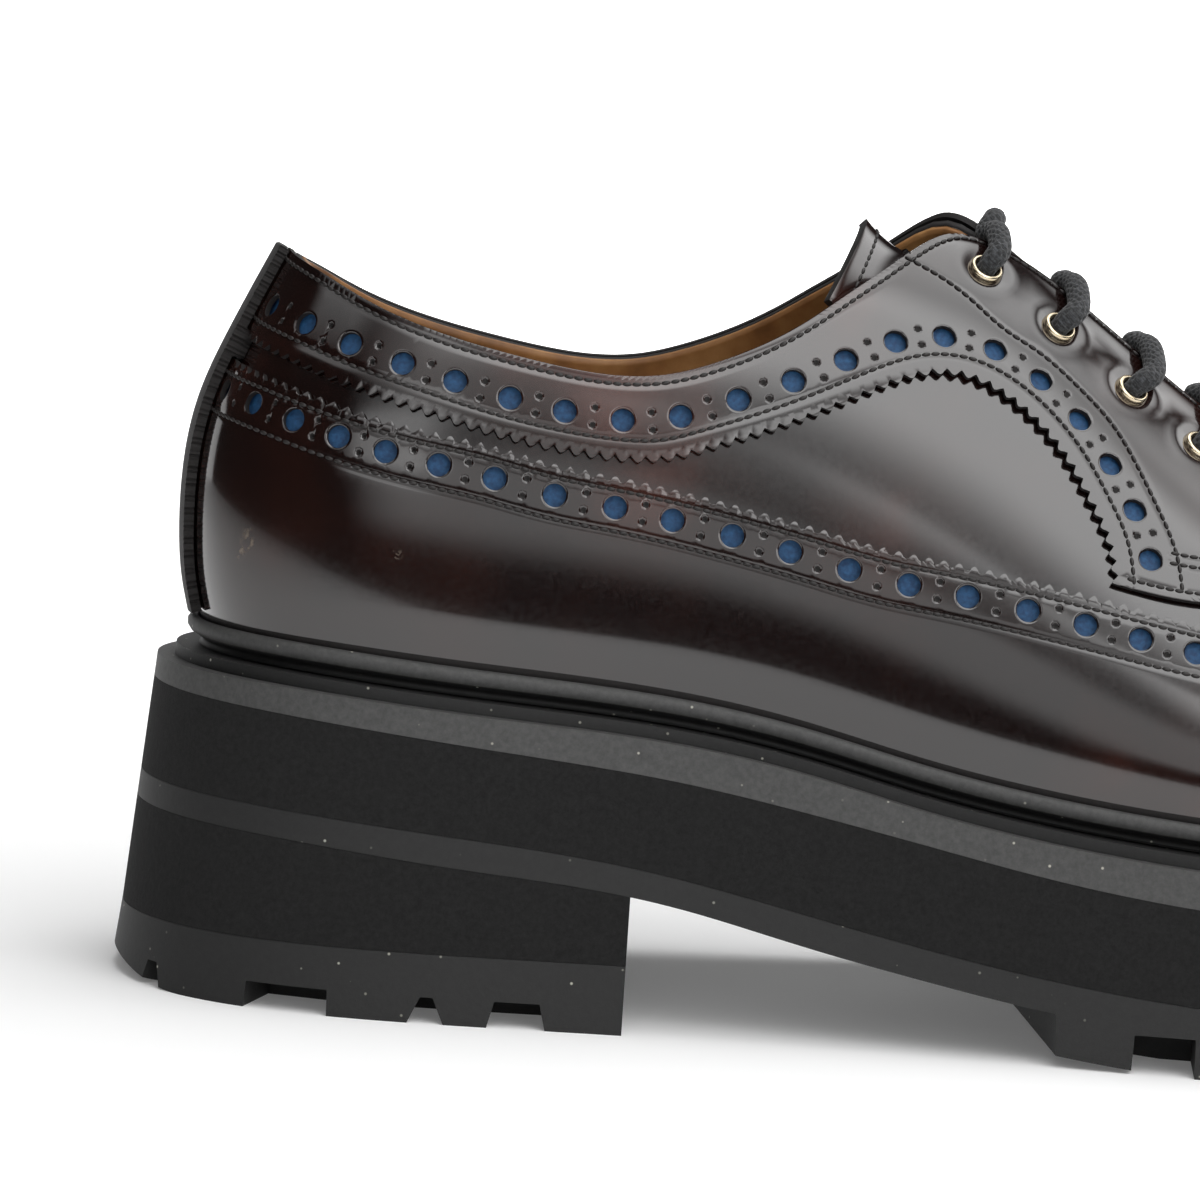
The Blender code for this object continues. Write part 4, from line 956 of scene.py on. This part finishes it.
# Welt: a storm welt of dark rubber sewn round the foot of the upper, with a round
# bead on top and a deep groove under the bead.
# distance out from the skin and height over the seat, round the welt's section
WELT_SECTION = (
    (2.3, 0.3), (3.2, 0.3), (2.6, 0.6), (2.4, 1.0), (2.5, 1.4), (3.3, 1.8), (4.2, 2.4), (4.6, 3.3),
    (4.4, 4.2), (3.8, 4.8), (3.0, 5.1), (2.4, 4.9),
)
WELT_STEPS, GROOVE_SHADE_TOP = 200, 2.2


def filled_rubber(name, dark, light):
    """Matt rubber with a fine rub, and pale specks of filler scattered in it."""
    made, tree, shade = new_material(name, 0.62, IOR=1.5)
    where = add_node(tree, "TexCoord").outputs["Object"]
    rub = add_node(tree, "TexNoise", (("Vector", where), ("Scale", per_mm(1.1)), ("Detail", 8.0),
                                      ("Roughness", 0.7)))
    tone = add_node(tree, "ValToRGB", (("Fac", rub.outputs["Fac"]),))
    tone.color_ramp.elements[0].position, tone.color_ramp.elements[1].position = 0.3, 0.72
    tone.color_ramp.elements[0].color, tone.color_ramp.elements[1].color = linear(dark), linear(light)
    speck = add_node(tree, "TexVoronoi", (("Vector", where), ("Scale", per_mm(3.0)), ("Randomness", 1.0)))
    dot = add_node(tree, "MapRange", (("Value", speck.outputs["Distance"]), ("From Min", 0.04),
                                      ("From Max", 0.1), ("To Min", 1.0), ("To Max", 0.0)))
    pick = add_node(tree, "SeparateColor", ((0, speck.outputs["Color"]),))
    chance = add_node(tree, "MapRange", (("Value", pick.outputs[0]), ("From Min", 0.3), ("From Max", 0.95)))
    amount = add_node(tree, "Math", ((0, dot.outputs["Result"]), (1, chance.outputs["Result"])),
                      operation="MULTIPLY")
    mixed = add_node(tree, "Mix", ((0, amount.outputs[0]), (6, tone.outputs["Color"]),
                                   (7, linear("B4B2A6"))), data_type="RGBA")
    tree.links.new(mixed.outputs[2], shade.inputs["Base Color"])
    pitted = add_node(tree, "Bump", (("Height", rub.outputs["Fac"]), ("Strength", 0.35),
                                     ("Distance", 0.15 * MM)))
    tree.links.new(pitted.outputs["Normal"], shade.inputs["Normal"])
    return made


# Welt and midsole are slate grey, the runner and the ground-facing rubber darker, the groove black with
# painted shade.
speckled_rubber = filled_rubber("speckled_grey_rubber", "363636", "4C4C4B")
tread_rubber = filled_rubber("speckled_black_rubber", "121212", "1C1C1C")
groove_shade_rubber = filled_rubber("painted_shade_groove_rubber", "060606", "101010")


def both_sides(u, at):
    """Closed row round the shoe: out along the outer side and back along the inner one."""
    near, far = at(u, LATERAL), at(u, MEDIAL)
    return np.concatenate([near, far[-2:0:-1]])


def ring_grid(mesh, rows, closed=True):
    """Tube of rows that each run round the shoe."""
    count, length = len(rows), len(rows[0])
    table = np.array(rows)

    def place(s, t):
        i = np.rint(s * (count if closed else count - 1)).astype(int) % count
        return table[i, np.rint(t * length).astype(int) % length]
    bent_grid(mesh, (count if closed else count - 1, length), place)


def welt_row(lift, height):
    def at(u, side):
        row = skin(u, turn_at_height(u, height), side, np.full_like(u, lift))
        row[:, 2] = seat(row[:, 0]) + height
        return row
    return both_sides(np.linspace(0, 1, WELT_STEPS + 1), at)


welt_mesh = bmesh.new()
ring_grid(welt_mesh, [welt_row(*row) for row in WELT_SECTION])
# Faces under the groove's top height get near-black rubber: painted shade in the groove under the bead.
for face in welt_mesh.faces:
    middle = face.calc_center_median() / MM
    face.material_index = int(middle.z - seat(middle.x + HEEL_TO_ORIGIN) < GROOVE_SHADE_TOP)
add_piece("storm_welt", welt_mesh, [speckled_rubber, groove_shade_rubber], "grey_rubber", ["welt"], sharp=50.0)

# Runner and rubber layer: two flat layers of the same rubber under the welt, cemented
# to each other, each a step wider than the one above.
RUNNER_SPREAD, SOLE_SPREAD, RUNNER_WALL, GAP, FLARE = 5.4, 8.4, 1.8, 0.3, 4.6
SOLE_STEPS, GLUE_LINE = 220, 0.06
# along the shoe, heights over the floor of the undersides of rubber, foam and outsole
LAYERS = (
    (-16.0, 51.2, 34.9, 30.2), (5.0, 50.1, 34.1, 29.4), (20.0, 48.9, 33.1, 28.3), (40.0, 47.0, 31.5, 26.4),
    (60.0, 45.1, 29.7, 24.7), (80.0, 42.8, 26.8, 21.9), (100.0, 39.4, 22.6, 17.3), (121.0, 35.3, 18.2, 12.9),
    (142.0, 31.3, 14.6, 9.3), (166.0, 28.2, 11.9, 6.8), (185.0, 26.9, 10.7, 5.7), (205.0, 26.3, 10.2, 5.2),
    (240.0, 27.7, 11.7, 6.7), (270.0, 31.3, 15.3, 10.3), (306.0, 38.7, 22.7, 17.7),
)
layer_rows = np.array(LAYERS)
rubber_under, foam_under, outsole_under = (spline(layer_rows[:, 0], layer_rows[:, k]) for k in (1, 2, 3))


def outline(u, side, spread):
    """Plan of the last's widest line, moved out by spread."""
    u, step = np.asarray(u, float), 1e-4
    lo, hi = np.clip(u - step, 0, 1), np.clip(u + step, 0, 1)
    dx, dw = along_of(hi) - along_of(lo), half_width[side](hi) - half_width[side](lo)
    at_end = (u <= 1e-6) | (u >= 1 - 1e-6)
    dx = np.where(at_end, 0.0, dx)
    size = np.hypot(dx, dw)
    return np.stack([along_of(u) - spread * dw / size,
                     side * (half_width[side](u) * ~at_end + spread * dx / size)], axis=-1)


def wall_at(u, side, level, spread, drop=0.0):
    """Point on the sole's flared side where a level lies, or a little below it."""
    plan = outline(u, side, spread)
    for _ in range(3):
        depth = seat(plan[..., 0]) - level(plan[..., 0]) + drop
        plan = outline(u, side, spread + depth * math.tan(math.radians(FLARE)))
    return np.concatenate([plan, (level(plan[..., 0]) - drop)[..., None]], axis=-1)


def layer_mesh(u, walls, across=5):
    """Closed layer lofted from heel to toe through its walls, which run from top to bottom."""
    near, far = walls
    share = np.linspace(0, 1, across + 2)[1:-1][:, None, None]
    under = near[:, -1] + (far[:, -1] - near[:, -1]) * share
    over = far[:, 0] + (near[:, 0] - far[:, 0]) * share
    loop = np.concatenate([near, under.transpose(1, 0, 2), far[:, ::-1], over.transpose(1, 0, 2)], axis=1)
    mesh = bmesh.new()

    def place(s, t):
        i = np.rint(s * (len(u) - 1)).astype(int)
        return loop[i, np.rint(t * loop.shape[1]).astype(int) % loop.shape[1]]
    bent_grid(mesh, (len(u) - 1, loop.shape[1]), place)
    bmesh.ops.remove_doubles(mesh, verts=mesh.verts, dist=2e-6)
    bmesh.ops.holes_fill(mesh, edges=[e for e in mesh.edges if e.is_boundary], sides=0)
    return mesh


def flared_layer(top, bottom, spread, top_drop=0.0, bottom_drop=0.0):
    u = np.linspace(0, 1, SOLE_STEPS + 1)
    return layer_mesh(u, [np.stack([wall_at(u, side, top, spread, top_drop),
                                    wall_at(u, side, bottom, spread, bottom_drop)], axis=1)
                          for side in (LATERAL, MEDIAL)])


runner_mesh = flared_layer(seat, seat, RUNNER_SPREAD, 0.0, RUNNER_WALL + GAP - 0.05)
add_piece("runner_strip", runner_mesh, [tread_rubber], "grey_rubber", ["runner"], bevel=0.25)
midsole_mesh = flared_layer(seat, rubber_under, SOLE_SPREAD, RUNNER_WALL + GAP)
add_piece("rubber_midsole", midsole_mesh, [speckled_rubber], "grey_rubber", ["rubber_layer"], bevel=0.25)

# Platform: a thick slab of fine-celled black foam, cemented under the rubber and
# sanded flush with it, so that its sides show cut cells.
sanded_foam, tree, shade = new_material("sanded_black_foam", 0.95, IOR=1.4)
where = add_node(tree, "TexCoord").outputs["Object"]
cells = add_node(tree, "TexNoise", (("Vector", where), ("Scale", per_mm(0.9)), ("Detail", 6.0),
                                    ("Roughness", 0.75)))
tone = add_node(tree, "ValToRGB", (("Fac", cells.outputs["Fac"]),))
tone.color_ramp.elements[0].position, tone.color_ramp.elements[1].position = 0.32, 0.75
tone.color_ramp.elements[0].color, tone.color_ramp.elements[1].color = linear("101010"), linear("222222")
tree.links.new(tone.outputs["Color"], shade.inputs["Base Color"])
open_cells = add_node(tree, "Bump", (("Height", cells.outputs["Fac"]), ("Strength", 0.7),
                                     ("Distance", 0.2 * MM)))
tree.links.new(open_cells.outputs["Normal"], shade.inputs["Normal"])
slab_mesh = flared_layer(rubber_under, foam_under, SOLE_SPREAD, GLUE_LINE)
add_piece("platform_slab", slab_mesh, [sanded_foam], "black_foam", ["platform"], bevel=0.2)

# Outsole: moulded rubber under the foam, thin in the arch and thickening to lugs
# under the forefoot, with grooves that part the lugs from the middle bars.
TREAD_START, LUG_DEPTH = 146.1, 6.9
NOTCH_MIDDLES = (163.8, 185.5, 207.5, 229.2, 250.2)
NOTCH_WIDTH, NOTCH_LEAN, NOTCH_REACH = 10.2, 0.03, 17.0
NOTCH_OVERHANG, NOTCH_HEIGHT = 8.0, 9.0
GROOVE_HEIGHT, GROOVE_MIDDLE, ROOT_BELOW = 20.0, 1.5, 0.4
BAR_GROOVES, BAR_GROOVE_WIDTH, BAR_HALF_SPAN = (170.0, 192.0, 214.0, 236.0), 6.0, 22.0
tread_u = float(u_of(TREAD_START))
outsole_u = np.linspace(0, 1, SOLE_STEPS + 1)
outsole_u = np.append(outsole_u[np.abs(outsole_u - tread_u) > 0.003], [tread_u - 5e-4, tread_u + 5e-4])
outsole_u = np.sort(outsole_u)
outsole_walls = []
for side in (LATERAL, MEDIAL):
    top = wall_at(outsole_u, side, foam_under, SOLE_SPREAD, GLUE_LINE)
    middle = wall_at(outsole_u, side, outsole_under, SOLE_SPREAD, -0.6)
    bottom = wall_at(outsole_u, side, outsole_under, SOLE_SPREAD)
    lugs = wall_at(outsole_u, side, outsole_under, SOLE_SPREAD, LUG_DEPTH)
    lugs[:, 2] = np.maximum(lugs[:, 2], 0.0)
    bottom[outsole_u > tread_u] = lugs[outsole_u > tread_u]
    outsole_walls.append(np.stack([top, middle, bottom], axis=1))


def level_at(height):
    return lambda x: np.full(np.shape(x), height)


def cut_block(mesh, centre, across, size, lean=0.0):
    """Block with its X along across; its sides lean out downwards, by so much for each millimetre."""
    turn = Matrix.Rotation(math.atan2(across[1], across[0]), 4, "Z")
    made = bmesh.ops.create_cube(mesh, size=1.0)["verts"]
    for vert in made:
        wide = size[1] + 2 * lean * size[2] * (0.5 - vert.co.z)
        vert.co = Vector((vert.co.x * size[0], vert.co.y * wide, vert.co.z * size[2])) * MM
    bmesh.ops.transform(mesh, matrix=Matrix.Translation(Vector(to_frame(centre))) @ turn, verts=made)


def edge_notch(mesh, along, width, lean, reach, top, side):
    """Block across the sole's edge, square to the edge at the notch's middle."""
    u = float(u_of(along))
    edge = wall_at(np.array([u]), side, level_at(0.0), SOLE_SPREAD)[0]
    near = wall_at(np.array([u + 0.004]), side, level_at(0.0), SOLE_SPREAD)[0] - edge
    square = np.array([near[1], -near[0], 0.0]) / np.hypot(near[0], near[1])
    square *= np.sign(square[1]) * side
    middle = edge + square * (NOTCH_OVERHANG - reach) / 2
    middle[2] = top - NOTCH_HEIGHT / 2
    cut_block(mesh, middle, square, (reach + NOTCH_OVERHANG, width, NOTCH_HEIGHT), lean)


def carve(mesh, tool_mesh):
    """Cuts one closed mesh out of another."""
    shapes = []
    for shape in (mesh, tool_mesh):
        bmesh.ops.recalc_face_normals(shape, faces=shape.faces)
        data = bpy.data.meshes.new("carving")
        shape.to_mesh(data)
        shape.free()
        made = bpy.data.objects.new("carving", data)
        bpy.context.scene.collection.objects.link(made)
        shapes.append(made)
    cut = shapes[0].modifiers.new("cut", "BOOLEAN")
    cut.operation, cut.solver, cut.object = "DIFFERENCE", "EXACT", shapes[1]
    carved = bmesh.new()
    carved.from_object(shapes[0], bpy.context.evaluated_depsgraph_get())
    for made in shapes:
        data = made.data
        bpy.data.objects.remove(made)
        bpy.data.meshes.remove(data)
    return carved


notch_mesh = bmesh.new()
for side in (LATERAL, MEDIAL):
    for along in NOTCH_MIDDLES:
        root = float(outsole_under(along)) - ROOT_BELOW
        edge_notch(notch_mesh, along, NOTCH_WIDTH, NOTCH_LEAN, NOTCH_REACH, root, side)
groove_mesh = bmesh.new()
for start in BAR_GROOVES:
    root = float(outsole_under(start + BAR_GROOVE_WIDTH / 2)) - ROOT_BELOW
    middle = (start + BAR_GROOVE_WIDTH / 2, GROOVE_MIDDLE, root - GROOVE_HEIGHT / 2)
    cut_block(groove_mesh, middle, (1.0, 0.0), (BAR_GROOVE_WIDTH, 2 * BAR_HALF_SPAN, GROOVE_HEIGHT))
outsole_mesh = carve(carve(layer_mesh(outsole_u, outsole_walls), notch_mesh), groove_mesh)
add_piece("outsole_tread", outsole_mesh, [tread_rubber], "grey_rubber", ["outsole"], sharp=30.0, bevel=0.3)

# Heel: a wedge of the same foam and a moulded rubber top piece with its own lugs,
# cemented under the outsole and bevelled at the back.
BREAST, LIFT_HEIGHT = 72.9, 11.6
BACK_BEVEL, BACK_BEVEL_REACH = 3.6, 11.0
# along the last at the notch's middle, width at its top, lean of its sides
HEEL_NOTCHES = ((4.3, 2.8, 0.35), (20.0, 14.3, 0.05), (40.3, 2.1, 0.45), (54.9, 7.6, 0.25))
HEEL_NOTCH_REACH, HEEL_NOTCH_TOP = 15.0, 4.4
heel_u = np.linspace(0, float(u_of(BREAST)), 110)
wedge_walls, lift_walls = [], []
for side in (LATERAL, MEDIAL):
    wedge_top = wall_at(heel_u, side, outsole_under, SOLE_SPREAD, GLUE_LINE)
    wedge_bottom = wall_at(heel_u, side, level_at(LIFT_HEIGHT + GLUE_LINE), SOLE_SPREAD)
    wedge_walls.append(np.stack([wedge_top, wedge_bottom], axis=1))
    top = wall_at(heel_u, side, level_at(LIFT_HEIGHT), SOLE_SPREAD)
    bottom = wall_at(heel_u, side, level_at(0.0), SOLE_SPREAD)
    from_back = bottom[:, 0] - bottom[0, 0]
    bottom[:, 2] = BACK_BEVEL * np.clip(1 - from_back / BACK_BEVEL_REACH, 0, 1) ** 2
    lift_walls.append(np.stack([top, bottom], axis=1))
block_mesh = layer_mesh(heel_u, wedge_walls)
add_piece("heel_block", block_mesh, [sanded_foam], "black_foam", ["heel_wedge"], bevel=0.2)
heel_mesh = bmesh.new()
for side in (LATERAL, MEDIAL):
    for along, width, lean in HEEL_NOTCHES:
        edge_notch(heel_mesh, along, width, lean, HEEL_NOTCH_REACH, HEEL_NOTCH_TOP, side)
add_piece("heel_top_piece", carve(layer_mesh(heel_u, lift_walls), heel_mesh), [tread_rubber], "grey_rubber",
          ["heel_lift"], sharp=30.0, bevel=0.3)

# Studio: a white paper sweep, soft boxes overhead and in front, and the camera at
# the height and roll of the photograph.
SWEEP, BACKDROP_AT, BACKDROP_HALVES = 2.2, 1.6, (2.2, 0.26)
GLOW_ASIDE, GLOW_BACK = (0.4, 0.8), (0.05, 0.9)


def glowing_white_sheet(name, strength, far_strength):
    """White sheet glowing with painted light of its own, more so in the middle far back: plain, matt, it
    fills the shadows.
    """
    made, tree, shade = new_material(name, 0.9)
    where = add_node(tree, "TexCoord").outputs["Object"]
    fibre = add_node(tree, "TexNoise", (("Vector", where), ("Scale", per_mm(400.0))))
    tone = add_node(tree, "ValToRGB", (("Fac", fibre.outputs["Fac"]),))
    tone.color_ramp.elements[0].color, tone.color_ramp.elements[1].color = linear("F7F7F7"), linear("FBFBFB")
    tree.links.new(tone.outputs["Color"], shade.inputs["Base Color"])
    tree.links.new(tone.outputs["Color"], shade.inputs["Emission Color"])
    axes = add_node(tree, "SeparateXYZ", ((0, where),))
    aside = add_node(tree, "Math", ((0, axes.outputs["X"]),), operation="ABSOLUTE")
    middle = add_node(tree, "MapRange", (("Value", aside.outputs[0]), ("From Min", GLOW_ASIDE[0]),
                                         ("From Max", GLOW_ASIDE[1]), ("To Min", 1.0), ("To Max", 0.0)))
    back = add_node(tree, "MapRange", (("Value", axes.outputs["Y"]), ("From Min", GLOW_BACK[0]),
                                       ("From Max", GLOW_BACK[1])))
    share = add_node(tree, "Math", ((0, middle.outputs["Result"]), (1, back.outputs["Result"])),
                     operation="MULTIPLY")
    glow = add_node(tree, "MapRange", (("Value", share.outputs[0]), ("To Min", strength),
                                       ("To Max", far_strength)))
    tree.links.new(glow.outputs["Result"], shade.inputs["Emission Strength"])
    return made


# name, glow at the sides and in the middle far back, turn about X, where it lies, half sizes
# Floor and backdrop glow with painted light of their own, stronger in the middle far back.
for name, near_far, turned, place, (wide, deep) in (
        ("floor", (0.11, 0.7), 0.0, (0.0, 0.2, 0.0), (SWEEP, SWEEP)),
        ("backdrop", (0.55, 1.1), math.pi / 2, (0.0, BACKDROP_AT, 0.25), BACKDROP_HALVES)):
    look = glowing_white_sheet(name + "_sheet", *near_far)
    sheet_mesh = bmesh.new()
    stood = Matrix.Translation(place) @ Matrix.Rotation(turned, 4, "X")
    bmesh.ops.create_grid(sheet_mesh, x_segments=2, y_segments=2, size=1.0,
                          matrix=stood @ Matrix.Diagonal((wide, deep, 1.0, 1.0)))
    sheet_data = bpy.data.meshes.new(name)
    sheet_mesh.to_mesh(sheet_data)
    sheet_mesh.free()
    sheet_data.materials.append(look)
    sheet = bpy.data.objects.new(name, sheet_data)
    bpy.context.scene.collection.objects.link(sheet)

# name, where it stands, where it aims, width and height, share of it that fades, power
LIGHTS = (
    ("overhead", (0.3, 0.1, 1.5), (0.2, 0.05, 0.0), (2.2, 2.0), 0.3, 33.0),
    ("key", (0.36, -0.98, 1.22), (0.0, 0.0, 0.08), (2.2, 1.05), 0.3, 17.4),
    ("fill", (0.3, -1.25, 1.25), (0.0, 0.0, 0.08), (3.4, 2.0), 0.3, 16.0),
    ("card", (0.1, -1.9, 0.46), (0.0, 0.0, 0.08), (2.4, 0.5), 0.3, 3.3),
    ("left_card", (-0.62, -1.7, 0.65), (0.0, 0.0, 0.08), (0.9, 0.45), 0.3, 1.6),
    ("left_top", (-1.1, -0.63, 1.22), (-0.1, 0.0, 0.1), (1.4, 0.8), 0.3, 2.8),
    ("right_card", (0.78, -1.71, 0.75), (0.0, 0.0, 0.08), (1.6, 0.65), 0.13, 7.0),
    ("far_right", (1.45, 0.4, 1.1), (0.0, 0.0, 0.12), (2.2, 0.9), 0.3, 15.0),
)


def soften(lamp, fades):
    """Lets a soft box fade towards its edges, as one lit from its middle does."""
    lamp.use_nodes = True
    tree = lamp.node_tree
    across = add_node(tree, "NewGeometry").outputs["Parametric"]
    centred = add_node(tree, "VectorMath", ((0, across), (1, (0.5, 0.5, 0.0))), operation="SUBTRACT")
    away = add_node(tree, "VectorMath", ((0, centred.outputs["Vector"]),), operation="ABSOLUTE")
    axes = add_node(tree, "SeparateXYZ", ((0, away.outputs["Vector"]),))
    sides = [add_node(tree, "MapRange", (("Value", axes.outputs[k]), ("From Min", 0.5 - fades),
                                         ("From Max", 0.5), ("To Min", 1.0), ("To Max", 0.0)),
                      interpolation_type="SMOOTHSTEP").outputs["Result"] for k in (0, 1)]
    glow = add_node(tree, "Math", tuple(enumerate(sides)), operation="MULTIPLY")
    tree.links.new(glow.outputs[0], tree.nodes["Emission"].inputs["Strength"])


for name, stands, aims, size, fades, power in LIGHTS:
    lamp = bpy.data.lights.new(name, "AREA")
    lamp.shape, lamp.size, lamp.size_y, lamp.energy = "RECTANGLE", size[0], size[1], power
    soften(lamp, fades)
    box = bpy.data.objects.new(name, lamp)
    box.location = stands
    box.rotation_euler = (Vector(aims) - Vector(stands)).to_track_quat("-Z", "Y").to_euler()
    bpy.context.scene.collection.objects.link(box)
room = bpy.data.worlds.new("room")
bpy.context.scene.world = room
room.use_nodes = True
room.node_tree.nodes["Background"].inputs["Color"].default_value = linear("FFFFFF")
room.node_tree.nodes["Background"].inputs["Strength"].default_value = 0.02
bpy.context.scene.view_settings.view_transform = "Standard"

AIM, DISTANCE, LENS, SENSOR = (67.6, 0.0, 68.2), 1000.0, 172.2, 36.0
AZIMUTH, ELEVATION, ROLL = (math.radians(a) for a in (-4.9, 6.0, 3.92))
back = Vector((math.sin(AZIMUTH) * math.cos(ELEVATION), -math.cos(AZIMUTH) * math.cos(ELEVATION),
               math.sin(ELEVATION)))
right = Vector((math.cos(AZIMUTH), math.sin(AZIMUTH), 0.0))
up = back.cross(right)
rolled_right = math.cos(ROLL) * right + math.sin(ROLL) * up
rolled_up = -math.sin(ROLL) * right + math.cos(ROLL) * up
lens = bpy.data.cameras.new("camera")
lens.lens, lens.sensor_width, lens.clip_start, lens.clip_end = LENS, SENSOR, 0.05, 20.0
camera = bpy.data.objects.new("camera", lens)
camera.matrix_world = Matrix.Translation(Vector(to_frame(AIM)) + back * DISTANCE * MM) @ Matrix(
    (rolled_right, rolled_up, back)).transposed().to_4x4()
bpy.context.scene.collection.objects.link(camera)
bpy.context.scene.camera = camera
